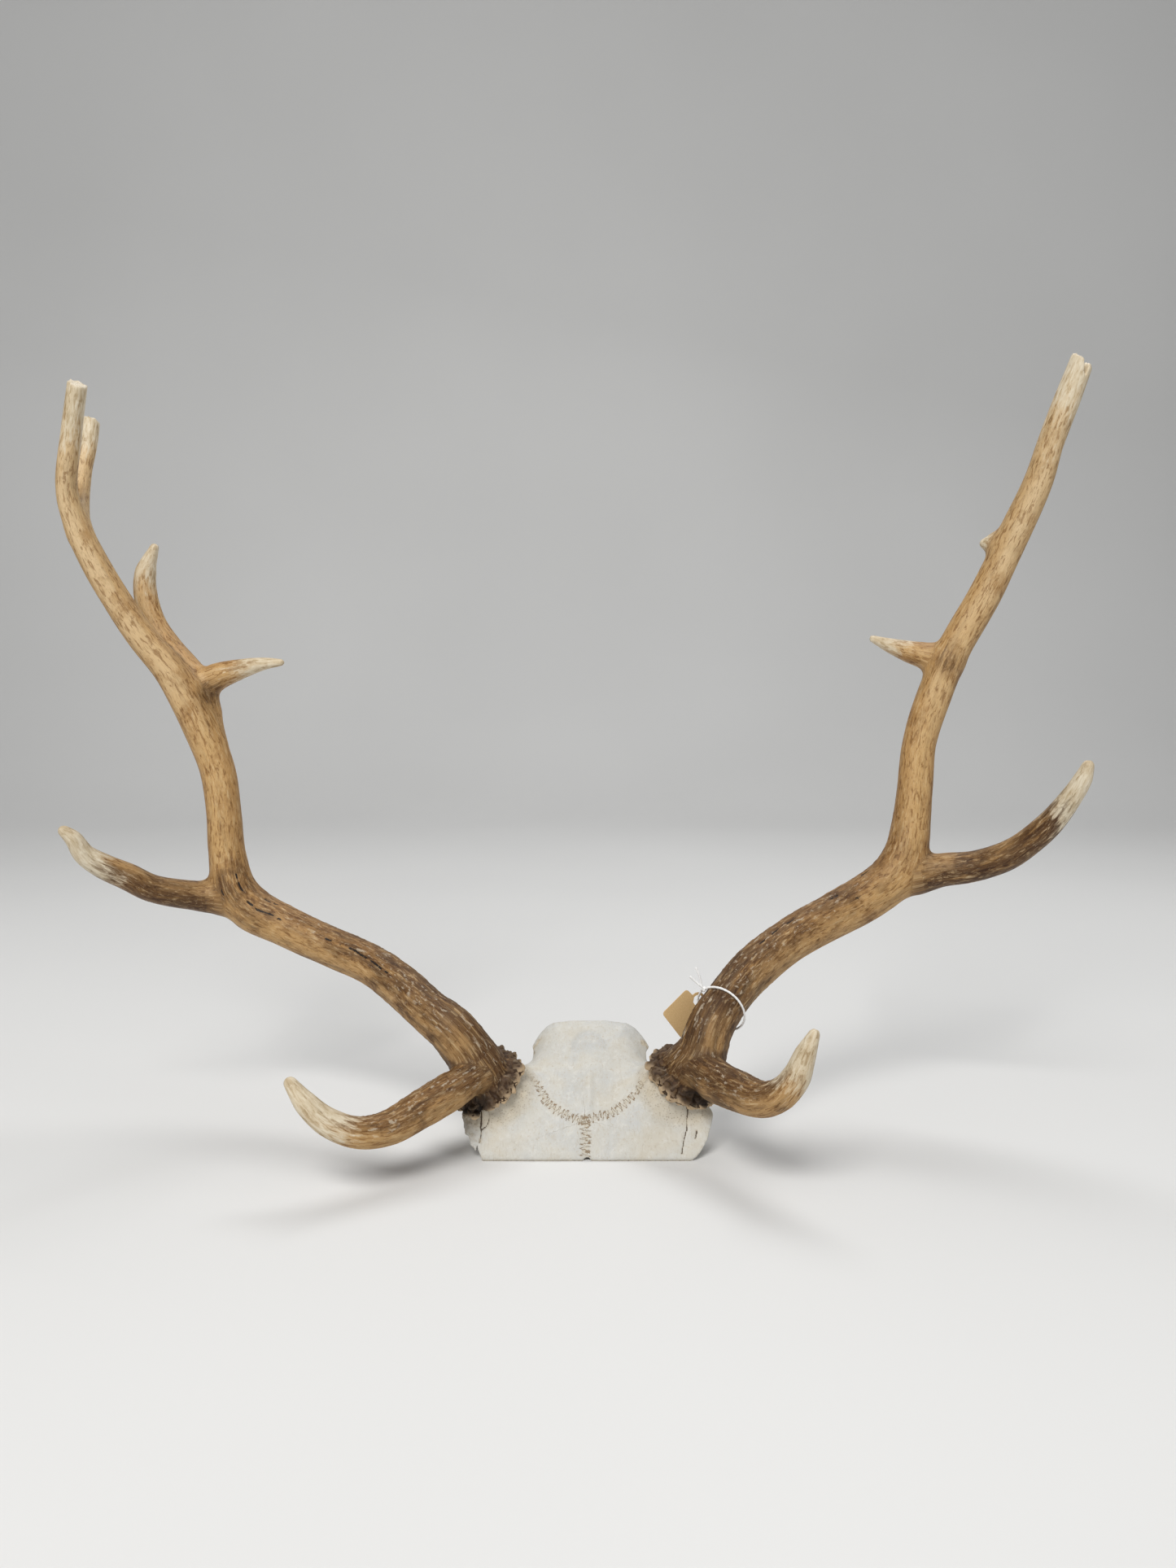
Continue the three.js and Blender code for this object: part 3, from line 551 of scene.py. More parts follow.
def dress_branch(branch, along, angle, radius, points):
    """Relief in mm and the masks for colour at places on one branch."""
    started = BRANCH_STARTS[branch.name]
    age = started + along
    left = branch.along[-1] - along
    full, end = PALE_TIPS[branch.name]
    ring = np.c_[np.cos(angle), np.sin(angle)]
    seed = sum(ord(c) for c in branch.name)
    grain = lambda across, pitch, extra=0: np.c_[ring * across, along / pitch + seed + extra]
    coarse = noise(points / 22, seed)
    tip = fade(full, end, left + 9 * noise(grain(1.3, 14), seed + 1))
    rough = fade(90, 300, age + 30 * coarse)
    worn = np.clip(1 - tip * 1.05, 0, 1)
    oval = radius * (0.02 * np.cos(2 * angle + 0.7) + 0.015 * np.cos(3 * angle + 0.012 * along))
    ridges = noise(grain(2.6, 34), seed + 2) + 0.6 * noise(grain(5.2, 17, 5), seed + 3)
    fine = noise(grain(7.5, 9), seed + 4)
    around = max(10, int(round(2 * math.pi * float(np.median(branch.radius)) / 3.6)))
    bent = angle + 0.09 * noise(points / 4.5, seed + 8)
    shifted = along + 1.6 * noise(points / 3.5, seed + 9)
    pearls = elongated_bumps(bent, shifted, radius, around, 9.5, seed, 0.5)
    smaller = elongated_bumps(bent, shifted, radius, around + 6, 4.6, seed + 31, 0.62)
    pearls = np.maximum(pearls, 0.8 * smaller)
    patch = smoothstep(-0.55, 0.35, noise(points / 15, seed + 6) + 0.9 * rough - 0.25)
    pearl = pearls * patch * worn * (0.16 + 0.84 * rough)
    depth = (0.08 + 0.27 * rough) * worn
    relief = oval + depth * (0.85 * ridges + 0.35 * fine) + 0.62 * pearl + 0.35 * coarse * worn
    groove = np.clip(0.5 - 0.55 * ridges - 0.45 * fine, 0, 1) * worn
    crack = np.zeros(len(along))
    for name, start, stop, at in CRACKS:
        if name != branch.name:
            continue
        wander = at + 0.05 * noise(np.c_[along / 9, along * 0 + at, along * 0], 5)
        off = np.abs(np.angle(np.exp(1j * (angle - wander)))) * radius
        inside = smoothstep(start, start + 5, along) * fade(stop - 5, stop, along)
        gaps = smoothstep(-0.5, 0.1, layered(np.c_[along / 4.5, along * 0, along * 0 + at], 2, 9))
        crack = np.maximum(crack, fade(0.1, 1.0, off) * inside * gaps)
    relief = relief - 0.7 * crack
    # Darker tone towards the burr's; on the middle tines it is painted shade.
    tone = age - DARKER.get(branch.name, 0) * smoothstep(0, 25, along)
    middle = np.full(len(along), float(branch.name.endswith("middle_tine")))
    return {"relief": relief, "tip": tip, "age": tone, "pearl": pearl, "groove": groove, "crack": crack,
            "rough": rough, "middle": middle}


def antler(side):
    branches = [Branch(name) for name in BRANCHES if name.startswith(side)]
    value, grid = antler_field(side, branches)
    points, faces = surface(value, grid)
    points = smoothed(points, faces, 3)
    normals = normals_of(points, faces)
    found = [branch.locate(points) for branch in branches]
    apart = np.stack([f[0] for f in found])
    weight = np.exp(-(apart - apart.min(0)) / 1.8)
    weight[weight < 0.02] = 0
    weight /= weight.sum(0)
    total = {}
    for branch, place, share in zip(branches, found, weight):
        near = share > 0
        made = dress_branch(branch, place[1][near], place[2][near], place[3][near], points[near])
        for key, values in made.items():
            total.setdefault(key, np.zeros(len(points)))[near] += share[near] * values
    nearest = apart.argmin(0)
    place = np.stack(found)[nearest, :, np.arange(len(points))]
    along, angle, radius = place[:, 1], place[:, 2], place[:, 3]
    grain = np.c_[np.cos(angle) * radius, np.sin(angle) * radius, along + 90 * nearest]
    seat, axis, _, _ = pedicle_frame(side)
    lift = (points - seat) @ axis
    out = np.sqrt(np.maximum(((points - seat) ** 2).sum(1) - lift ** 2, 0))
    burr = fade(7.5, 11, lift) * smoothstep(15.5, 18, out)
    rim = burr * fade(1.5, 6.5, lift + 1.8 * noise(points / 3.2, 81))
    pit, stain = np.zeros(len(points)), np.zeros(len(points))
    # How far the painted shade of the pits reaches.
    for *middle, size in HOLLOWS[side]:
        gap = gap_to(points, middle) + 1.2 * layered(points / 3, 2, 83)
        pit = np.maximum(pit, fade(size - 0.5, size + 3.2, gap))
    for *middle, size, strength in DARK_PATCHES[side]:
        gap = gap_to(points, middle) * (1 + 0.3 * layered(points / 7, 2, 84))
        stain = np.maximum(stain, strength * fade(0.3 * size, 1.25 * size, gap))
    # Painted highlight: a paler golden colour on the faces turned to the front and down on the lower beams,
    # up along the top rims of the middle tines and to the front on the upper beams. The pearls under it on
    # the lower beams are also smoothed.
    late, middle = smoothstep(190, 260, total["age"]), total["middle"]
    wander = noise(grain / [3, 3, 22], 82)
    low = smoothstep(0.22, 0.78, normals @ unit([0, -0.8, -0.6]) + 0.2 * wander) * (1 - middle)
    low += middle * smoothstep(0.35, 0.85, normals @ unit([0, -0.45, 0.9]) + 0.2 * wander)
    front = smoothstep(0.62, 0.98, normals @ unit([0, -1, 0.1]) + 0.12 * wander)
    polish = low * (1 - late) + front * late
    polish *= np.maximum(smoothstep(12, 40, total["age"] + 12 * noise(points / 9, 85)), 0.8 * middle)
    smoother = polish * (1 - late)
    total["relief"] -= 0.5 * smoother * total["pearl"]
    total["pearl"] *= 1 - 0.8 * smoother
    # Painted shade at the foot of each antler, where it meets the pedicle.
    foot = fade(4, 16, lift)
    broken = np.zeros(len(points))
    for branch in branches:
        if branch.name in BROKEN_ENDS:
            beyond = (points - branch.centre[-1]) @ branch.tangent[-1]
            close = gap_to(points, branch.centre[-1]) < 16
            facing = normals @ branch.tangent[-1]
            mark = smoothstep(0.35, 0.7, facing) * smoothstep(-11, -8, beyond) * close
            broken = np.maximum(broken, mark)
    relief = total["relief"] * (1 - 0.8 * burr) * (1 - broken)
    granules = np.abs(noise(points / 2.9, 77)) + 0.5 * np.abs(noise(points / 1.6, 79))
    relief += burr * (2.1 * granules - 0.75)
    relief += 0.25 * broken * layered(points / 1.6, 2, 78)
    relief = np.maximum(relief, np.where(lift < 1.5, -0.1, -3))
    points = points + normals * relief[:, None]
    # How hollow each place lies; the material paints shade into the hollows with it.
    hollow = hollowness(points, faces, 3)
    made = mesh_object(side + "_antler", points, faces)
    total["age"] = total["age"] / AGE_SPAN
    for key in ("tip", "age", "pearl", "groove", "crack", "rough"):
        give(made, key, total[key])
    for key, values in {"burr": burr, "foot": foot, "broken": broken, "grain": grain, "rim": rim,
                        "pit": pit, "polish": polish * (1 - stain), "hollow": hollow,
                        "stain": stain}.items():
        give(made, key, values)
    return made


# Skull cap

# Each slice: its y, the half width at the left and at the right, the crown's height, and how boxy it
# is: 1 would be round and 0 square.
CAP_SLICES = np.array([
    [0, 67, 66, 2.4, 0.15], [4, 76, 71, 9.5, 0.17], [9, 80, 75, 18, 0.22], [15, 80, 77, 26, 0.3],
    [21, 77, 76, 31, 0.4], [29, 69, 68, 36.5, 0.5], [37, 56.5, 56, 42, 0.58], [46, 46, 45, 48, 0.62],
    [56, 40.5, 41, 54, 0.62], [66, 38, 39.5, 59, 0.6], [73, 37, 39, 62, 0.57],
])
CAVITY_SLICES = np.array([
    [7, 46, 47, 5, 0.3], [12, 48, 49, 14, 0.35], [20, 44, 44, 23, 0.45], [30, 39, 39, 31, 0.6],
    [42, 37, 37, 40, 0.7], [54, 34.5, 36, 48.5, 0.7], [66, 31.5, 34, 54, 0.66],
    [78, 29.5, 33, 58, 0.62],
])
# Each eye socket: its middle and its three radii.
SOCKETS = (((-84, 40, -8), (39, 33, 38)), ((84, 40, -8), (38, 33, 38)))
# Ragged outer rims of the plate in the front view, x and z, from the top down.
LEFT_RIM = [[-75.5, 27], [-71.7, 13], [-70, 12.4], [-68.2, 7.5], [-64.7, 5], [-64.4, 8.6],
            [-63.2, 4.5], [-61.4, 0]]
RIGHT_RIM = [[75.6, 27], [72.6, 18.5], [69.8, 11], [66.4, 6], [62.5, 1.5], [60, 0]]
# Bites out of the crown's back corners: middle and radius.
FLANGE_NOTCHES = (((37.5, 68, 39), 4.6), ((-36.5, 66, 40), 4.2))
# Stretches of edge that are broken open, from end to end.
TORN_EDGES = (((-34, 70, 43), (-28, 69, 50)), ((38, 71, 42.5), (33, 69, 48)))
# The crest at each back corner in the front view, and its share of that width at each side.
CREST_SHARES = ((1, 0.97), (-1, 0.86))
CREST = [[17, 57], [25, 58.8], [29.5, 56.6], [34.5, 51.8], [39.5, 45], [35.5, 42.5], [24, 48]]
# Down each pedicle: depth below the burr, radius, and shift towards the middle.
PEDICLE_FLARE = [[22, 24, 7], [14, 20.5, 4], [7, 18.3, 1.5], [3, 17.3, 0.4], [-2, 17, 0]]
CAP_CELL = 0.75
CAP_BOX = ([-80, -3, -3], [80, 78, 68])
FLANGE_BOX = ([-50, 44, 26], [50, 78, 68])
BACK_EDGE = 73
CAVITY_FRONT = 7
FAR_FROM_CRACK = 9.0

# Lines in plan view, x and y: where the three plates of the cap meet.
SUTURES = {
    "mid": [[-1.5, -2], [-1.7, 3], [-1.2, 6], [-1.8, 10.5]],
    "left": [[-2, 10.5], [-10, 11.5], [-19, 14.5], [-25, 18], [-30, 25], [-37, 29]],
    "right": [[-2, 10.5], [5, 12], [12, 12.5], [16, 14], [23, 17], [28, 20], [34, 23], [40, 27]],
}
CAP_CRACKS = [[[60.5, 17.5], [59.3, 14.5], [59.6, 12.5], [57.9, 10.8], [57.5, 9.5], [57, 7.5],
               [56.2, 5.5], [55.4, 3.2], [54.3, 1]],
              [[63, 7.5], [62, 5.3]],
              [[-63, 10.5], [-61.9, 7.5], [-62.6, 5.5], [-63.5, 4]],
              [[-58, 9.5], [-60.5, 8], [-61.9, 7.5]],
              [[-48, 21], [-50, 17], [-49.4, 14.5], [-51, 12]]]


def slice_values(slices, y):
    """Half widths, crown height and boxiness at each y, smooth between the slices."""
    ends = np.vstack([2 * slices[0] - slices[1], slices, 2 * slices[-1] - slices[-2]])
    y = np.clip(y, slices[0, 0], slices[-1, 0])
    i = np.clip(np.searchsorted(slices[:, 0], y, side="right") - 1, 0, len(slices) - 2)
    t = ((y - slices[i, 0]) / (slices[i + 1, 0] - slices[i, 0]))[:, None]
    p0, p1, p2, p3 = ends[i], ends[i + 1], ends[i + 2], ends[i + 3]
    span = p2[:, :1] - p1[:, :1]
    m1 = (p2 - p0) / (p2[:, :1] - p0[:, :1]) * span
    m2 = (p3 - p1) / (p3[:, :1] - p1[:, :1]) * span
    made = ((2 * t ** 3 - 3 * t ** 2 + 1) * p1 + (t ** 3 - 2 * t ** 2 + t) * m1
            + (3 * t ** 2 - 2 * t ** 3) * p2 + (t ** 3 - t ** 2) * m2)
    return made[:, 1:]


def arched(slices, grid):
    x, y, z = grid.axes()
    left, right, crown, boxy = (v[None, :, None] for v in slice_values(slices, y.ravel()).T)
    width = np.where(x < 0, left, right)
    power = 2 / boxy
    size = ((np.abs(x) / width) ** power + (np.maximum(z, 0) / crown) ** power) ** (boxy / 2)
    value = (size - 1).astype(np.float32)
    slope = np.sqrt(sum(g * g for g in np.gradient(value, grid.cell)))
    return value / np.maximum(slope, 0.004)


def outline_distance(outline, x, z):
    """Signed distance to a closed outline in the x, z plane, negative inside."""
    corners = np.array(outline, float)
    x, z = np.broadcast_arrays(x, z)
    best = np.full(x.shape, np.inf)
    inside = np.zeros(x.shape, bool)
    for (ax, az), (bx, bz) in zip(corners, np.roll(corners, -1, axis=0)):
        ex, ez = bx - ax, bz - az
        share = np.clip(((x - ax) * ex + (z - az) * ez) / (ex * ex + ez * ez), 0, 1)
        best = np.minimum(best, (x - ax - share * ex) ** 2 + (z - az - share * ez) ** 2)
        crossing = ((az > z) != (bz > z)) & (x < (bx - ax) * (z - az) / (bz - az + 1e-9) + ax)
        inside ^= crossing
    return np.where(inside, -1, 1) * np.sqrt(best)


def cap_field():
    grid = Grid(*CAP_BOX, CAP_CELL)
    x, y, z = grid.axes()
    cap = np.maximum(arched(CAP_SLICES, grid), -y)
    # The flange at each side of the back edge swells out of the crown over its last 25 mm.
    near = grid.window(*FLANGE_BOX)
    fx, fy, fz = grid.axes(near)
    ahead = np.maximum(BACK_EDGE - 2.5 - fy, 0)
    for sign, share in CREST_SHARES:
        outline = [[sign * share * cx, cz] for cx, cz in CREST]
        flange = outline_distance(outline, fx + sign * 0.5 * ahead, fz + 0.55 * ahead)
        cap[near] = blend_union(cap[near], flange.astype(np.float32), 6.0)
    for side in ("left", "right"):
        seat, axis, _, _ = pedicle_frame(side)
        post = np.full(grid.shape, FAR, np.float32)
        line = []
        for depth, radius, inward in PEDICLE_FLARE:
            centre = seat - axis * depth
            centre = centre + [-np.sign(centre[0]) * inward, inward * 0.6, 0]
            line.append((centre, radius))
        for (a, ra), (b, rb) in zip(line, line[1:]):
            post = np.minimum(post, cone_distance((x, y, z), a, b, ra, rb))
        beyond = dot(from_centre((x, y, z), seat), axis)
        cap = blend_union(cap, np.maximum(post, beyond + 0.3), 9.0)
        cap = np.maximum(cap, np.where(post < 6, beyond + 0.3, -FAR))
    cap = np.maximum(cap, y - BACK_EDGE)
    cavity = np.maximum(arched(CAVITY_SLICES, grid), CAVITY_FRONT - y)
    cap = blend_cut(cap, cavity, 1.6)
    for centre, radii in SOCKETS:
        q = [line / r for line, r in zip(from_centre((x, y, z), centre), radii)]
        size = np.sqrt(sum(v * v for v in q)) - 1
        steep = np.sqrt(sum((v / r) ** 2 for v, r in zip(q, radii))) / (size + 1)
        cap = blend_cut(cap, size / steep, 2.4)
    for rim, sign in ((LEFT_RIM, -1), (RIGHT_RIM, 1)):
        outer = sign * 104
        outline = [[outer, 42], [rim[0][0], 42], *rim, [rim[-1][0], -8], [outer, -8]]
        beside = np.maximum(outline_distance(outline, x, z).astype(np.float32), y - 28)
        cap = blend_cut(cap, beside, 0.4)
    for centre, radius in FLANGE_NOTCHES:
        bite = length_of(from_centre((x, y, z), centre)) - radius
        cap = blend_cut(cap, bite, 0.6)
    foot = np.sqrt((x + 0.4) ** 2 + (0.5 * y) ** 2 + (z + 0.3) ** 2) - 2.2
    cap = blend_cut(cap, foot, 0.5)
    return np.maximum(cap, -z), grid


def line_coordinates(line, x, q):
    """Signed distance to a polyline and the distance along it."""
    best = np.full(len(x), np.inf)
    signed, along = np.zeros(len(x)), np.zeros(len(x))
    run = 0.0
    for (ax, aq), (bx, bq) in zip(line, line[1:]):
        ex, eq = bx - ax, bq - aq
        length = math.hypot(ex, eq)
        share = np.clip(((x - ax) * ex + (q - aq) * eq) / length ** 2, 0, 1)
        gap = np.hypot(x - ax - share * ex, q - aq - share * eq)
        nearer = gap < best
        best = np.where(nearer, gap, best)
        side = np.sign(ex * (q - aq) - eq * (x - ax))
        signed = np.where(nearer, side * gap, signed)
        along = np.where(nearer, run + share * length, along)
        run += length
    return signed, along


def skull_cap():
    value, grid = cap_field()
    points, faces = surface(value, grid)
    kept = points.copy()
    points = smoothed(points, faces, 2)
    normals = normals_of(points, faces)
    on_base = kept[:, 2] < 0.4
    on_back = kept[:, 1] > BACK_EDGE - 0.4
    # Distance up the forehead along the surface, so that the sutures keep their teeth on it.
    steps = np.arange(-6, 80, 0.5)
    heights = np.maximum(slice_values(CAP_SLICES, steps)[:, 2], 0)
    climb = np.concatenate([[0], np.cumsum(np.hypot(0.5, np.diff(heights)))])
    up = lambda y: np.interp(y, steps, climb)
    q = up(points[:, 1])
    chart = lambda line: [[px, float(up(py))] for px, py in line]
    sutures = {name: line_coordinates(chart(line), points[:, 0], q) for name, line in SUTURES.items()}
    x, y, z = points.T
    crown = slice_values(CAP_SLICES, y)
    width = np.where(x < 0, crown[:, 0], crown[:, 1])
    power = 2 / crown[:, 3]
    outer_size = (np.abs(x) / width) ** power + (np.maximum(z, 0) / crown[:, 2]) ** power
    outer_size = outer_size ** (crown[:, 3] / 2)
    top = smoothstep(0.86, 0.95, outer_size) * (1 - on_back)
    cracks = np.full(len(points), FAR_FROM_CRACK)
    stray = 0.5 * noise(points / 2.3, 44) + 0.7 * noise(points / 6, 50)
    for line in CAP_CRACKS:
        off, _ = line_coordinates(chart(line), x + stray, q)
        cracks = np.minimum(cracks, np.abs(off))
    cracks = np.where(top > 0.5, cracks, FAR_FROM_CRACK)
    ridge = np.exp(-((x - 0.7) / 2.2) ** 2) * smoothstep(12, 18, y) * fade(30, 40, y)
    hollow = np.exp(-((x - 0.7) / 14) ** 2) * np.exp(-((y - 52) / 8) ** 2)
    shoe = np.abs(np.hypot((x - 0.5) / 9.5, (y - 50) / 12) - 1) * 9
    shoe = fade(0.4, 2.4, shoe) * smoothstep(46, 52, y)
    near_suture = np.min([np.abs(off) for off, _ in sutures.values()], axis=0)
    seam = np.exp(-(near_suture / 2.4) ** 2) * top
    pits = layered(points / 2.2, 2, 41)
    lumps = layered(points / 11, 2, 42)
    around_burr = np.zeros(len(points))
    for side in ("left", "right"):
        seat = pedicle_frame(side)[0]
        around_burr = np.maximum(around_burr, fade(20, 34, gap_to(points, seat)))
    torn = np.zeros(len(points))
    for a, b in TORN_EDGES:
        run = np.subtract(b, a)
        share = np.clip((points - a) @ run / (run @ run), 0, 1)
        gap = gap_to(points - a, share[:, None] * run) + 0.9 * noise(points / 2, 48)
        torn = np.maximum(torn, fade(1.8, 3.4, gap))
    beside = sum(np.exp(-((x - cx) / 6.5) ** 2 - ((y - 27) / 9) ** 2) for cx in (-9.5, 11))
    ragged = smoothstep(59, 64, -x) * fade(22, 30, z) * (y < 32)
    torn = np.maximum(torn, 0.6 * ragged * smoothstep(-0.1, 0.5, layered(points / 2.6, 2, 51)))
    relief = 0.32 * lumps + top * (1.3 * ridge - 1.0 * hollow - 0.5 * shoe - 0.8 * beside)
    # Painted shade: a darker blue-grey, mostly where the dome's relief dips beside the ridge, at its back
    # and along the horseshoe.
    cool = np.clip(beside + 0.7 * hollow + 0.5 * shoe - 0.6 * ridge + 0.35 * lumps, 0, 1) * top
    relief += top * around_burr * (0.22 * np.minimum(pits, 0.1)) + 0.06 * pits
    relief -= torn * 0.5 * np.abs(layered(points / 1.6, 2, 49))
    relief -= seam * 0.22 * (1 + 0.8 * noise(points / 1.5, 43))
    relief -= 0.5 * fade(0.2, 1.1, cracks)
    relief += ragged * (0.6 * layered(points / 3.1, 3, 46) - 0.3)
    edge = smoothstep(0.6, 0.2, z) * (y < 6)
    relief -= edge * np.clip(0.9 * layered(points[:, :1] / [2.5] * [[1, 0, 0]], 2, 47) - 0.35, 0, 1)
    relief[on_base | on_back] = 0
    points = points + normals * relief[:, None]
    points[:, 2] = np.where(on_base, 0, np.maximum(points[:, 2], 0))
    points[:, 1] = np.where(on_back & (normals[:, 1] > 0.8), BACK_EDGE + 0.25 * pits, points[:, 1])
    made = mesh_object("skull_cap_bone", points, faces)
    cut = np.maximum(on_back * smoothstep(0.7, 0.9, normals[:, 1]), (kept[:, 2] < 0.4) * 1.0)
    for name, (off, along) in sutures.items():
        give(made, name + "_u", off)
        give(made, name + "_v", along)
    for key, values in {"cracks": cracks, "top": top, "cut": cut, "around_burr": around_burr,
                        "seam": seam, "torn": torn, "cool": cool,
                        "hollow": hollowness(points, faces, 3), "place": points}.items():
        give(made, key, values)
    return made


# String, knot and tag

STRING_DIAMETER = 1.25
LOOP_CENTRE = np.array([79.0, 23, 84])
LOOP_AXIS = unit([0.6, 0.55, 0.58])
LOOP_BACK = np.array([-0.17, 0.8, -0.58])
LOOP_BACK = unit(LOOP_BACK - (LOOP_BACK @ LOOP_AXIS) * LOOP_AXIS)
LOOP_SIDE = np.cross(LOOP_AXIS, LOOP_BACK)
LOOP_FRONT_RADIUS = 14.3
LOOP_BACK_RADIUS = 16.2
LOOP_TILT = 4
KNOT_ANGLE = 12
KNOT_REACH = 15.1
KNOT_RADIUS = 1.7
STRING_ENDS = [[-8.4, -1, 8], [-5, -0.5, 13.2]]
TAG_HOLE_ANGLE = -30
TAG_HOLE_REACH = 15.9
TAG_TURN = 32
TAG_LEAN = 14
TAG_HALF_WIDTH = 10.5
TAG_TOP = -1.5
TAG_BOTTOM = -22.3
TAG_CORNER = 2.0
TAG_NECK = (5.6, -0.95)
TAG_HEAD_RADIUS = 4.9
TAG_THICKNESS = 0.5
# Wider than the solid's, so that the string passes through without touching the card.
TAG_HOLE_RADIUS = 3.3
TAG_RINGS = 14
CURL_START = -6
GAP = 0.3


def loop_point(degrees, reach):
    angle = math.radians(degrees)
    return (LOOP_CENTRE + LOOP_SIDE * reach * math.cos(angle) - LOOP_BACK * reach * math.sin(angle)
            + LOOP_AXIS * LOOP_TILT * math.sin(angle))


def loop_reach(degrees):
    front = (1 + math.sin(math.radians(degrees))) / 2
    return LOOP_BACK_RADIUS * (1 - front) + LOOP_FRONT_RADIUS * front


def twisted_tube(points, radius, pitch=2.6, sides=16, spacing=0.22):
    """Points and faces of a two-ply string along a line, closed at both ends."""
    line = curve_through(np.c_[np.array(points), np.zeros(len(points))], 8)[:, :3]
    lengths = np.concatenate([[0], np.cumsum(np.linalg.norm(np.diff(line, axis=0), axis=1))])
    at = np.linspace(0, lengths[-1], int(lengths[-1] / spacing) + 2)
    line = np.stack([np.interp(at, lengths, line[:, k]) for k in range(3)], axis=1)
    tangent = unit(np.gradient(line, axis=0))
    up = np.array([0.31, 0.2, 0.93])
    made, faces = [], []
    for i, (centre, direction) in enumerate(zip(line, tangent)):
        across = unit(np.cross(up, direction))
        up = unit(np.cross(direction, across))
        angle = 2 * math.pi * np.arange(sides) / sides
        ply = np.abs(np.cos(angle - 2 * math.pi * at[i] / (2 * pitch)))
        close = min(i, len(line) - 1 - i) * spacing
        size = radius * (0.86 + 0.2 * ply) * (1 - 0.5 * max(0, 1 - close / 0.45) ** 2)
        made.append(centre + size[:, None] * (np.cos(angle)[:, None] * across + np.sin(angle)[:, None] * up))
    count = len(made)
    made = np.concatenate([*made, [line[0]], [line[-1]]])
    for i in range(count - 1):
        for j in range(sides):
            k = (j + 1) % sides
            faces.append([i * sides + j, i * sides + k, (i + 1) * sides + k, (i + 1) * sides + j])
    first, last = count * sides, count * sides + 1
    for j in range(sides):
        k = (j + 1) % sides
        faces.append([first, k, j])
        faces.append([last, (count - 1) * sides + j, (count - 1) * sides + k])
    return made, faces, line


def joined(parts):
    points, faces, offset = [], [], 0
    for p, f in parts:
        points.append(p)
        faces += [[i + offset for i in face] for face in f]
        offset += len(p)
    return np.concatenate(points), faces


def tag_string():
    clear = math.degrees((KNOT_RADIUS + 2 * GAP) / LOOP_FRONT_RADIUS) * 0.55
    angles = np.linspace(KNOT_ANGLE + clear, KNOT_ANGLE + 360 - clear, 40)
    points = [loop_point(a, loop_reach(a)) for a in angles]
    made, faces, line = twisted_tube(points, STRING_DIAMETER / 2)
    return mesh_object("cotton_string", made, faces), line


def string_knot():
    middle = loop_point(KNOT_ANGLE, KNOT_REACH)
    ends = [np.array(end) for end in STRING_ENDS]
    out = unit(ends[0] + ends[1])
    side = unit(np.cross(out, LOOP_AXIS))
    third = np.cross(out, side)
    turns = np.linspace(0, 2 * math.pi, 26)
    loop = [middle + 0.62 * ((np.sin(t) + 2 * np.sin(2 * t)) * 0.72 * side
                             + (np.cos(t) - 2 * np.cos(2 * t)) * 0.72 * third
                             - 1.1 * np.sin(3 * t) * out) for t in turns]
    parts = [twisted_tube(loop, STRING_DIAMETER / 2 * 0.92)[:2]]
    for sign, end in zip((-1, 1), ends):
        tip = middle + end
        bends = [middle + 0.3 * sign * side, middle + 0.25 * end + 0.5 * sign * side,
                 middle + 0.6 * end + [0.4, 0.2, -0.4], tip]
        parts.append(twisted_tube(bends, STRING_DIAMETER / 2 * 1.06)[:2])
    return mesh_object("cotton_knot", *joined(parts))


def tag_outline():
    """Card outline with rounded corners and a round head, with the hole at the origin."""
    def arc(cx, cy, radius, start, stop, count):
        turns = np.radians(np.linspace(start, stop, count))
        return [[cx + radius * math.cos(t), cy + radius * math.sin(t)] for t in turns]
    side, upper, lower = TAG_HALF_WIDTH - TAG_CORNER, TAG_TOP - TAG_CORNER + 0.4, TAG_BOTTOM + TAG_CORNER
    start = math.degrees(math.atan2(-0.8, 5))
    line = []
    for x, y, first, last in ((-side, upper, 100, 180), (-side, lower, 180, 270), (side, lower, 270, 360),
                              (side, upper, 0, 80)):
        line += arc(x, y, TAG_CORNER, first, last, 9)
    neck_x, neck_y = TAG_NECK
    head = arc(0, 0, TAG_HEAD_RADIUS, start, 180 - start, 31)
    return np.array([*line, [neck_x, neck_y], *head, [-neck_x, neck_y]])


def paper_tag():
    turn, lean = math.radians(TAG_TURN), math.radians(TAG_LEAN)
    across = -LOOP_SIDE * math.cos(turn) + LOOP_BACK * math.sin(turn)
    outward = np.cross(LOOP_AXIS, across)
    upward = LOOP_AXIS * math.cos(lean) - outward * math.sin(lean)
    facing = np.cross(across, upward)
    hole_place = loop_point(TAG_HOLE_ANGLE, TAG_HOLE_REACH)
    outline = tag_outline()
    count = len(outline)
    turns = np.arctan2(outline[:, 1], outline[:, 0])
    hole = TAG_HOLE_RADIUS * np.c_[np.cos(turns), np.sin(turns)]
    flat = np.concatenate([hole * (1 - s) + outline * s for s in np.linspace(0, 1, TAG_RINGS)])
    curl = 0.0032 * (flat[:, 1] - CURL_START) ** 2 * (flat[:, 1] < CURL_START) - 0.002 * flat[:, 0] ** 2
    sheets = [np.c_[flat, sign * TAG_THICKNESS / 2 + 0.35 * curl] for sign in (1, -1)]
    points = hole_place + np.concatenate(sheets) @ np.array([across, upward, facing])
    faces = []
    n = TAG_RINGS * count
    for ring in range(TAG_RINGS - 1):
        for i in range(count):
            k = (i + 1) % count
            quad = [ring * count + i, ring * count + k, (ring + 1) * count + k, (ring + 1) * count + i]
            faces.append(quad[::-1])
            faces.append([n + v for v in quad])
    for i in range(count):
        k = (i + 1) % count
        faces.append([i, k, n + k, n + i])
        a, b = n - count + i, n - count + k
        faces.append([a, n + a, n + b, b])
    made = mesh_object("kraft_tag", points, faces, smooth=False)
    give(made, "sheet", np.c_[np.r_[flat, flat], np.zeros(2 * n)])
    return made


# Materials

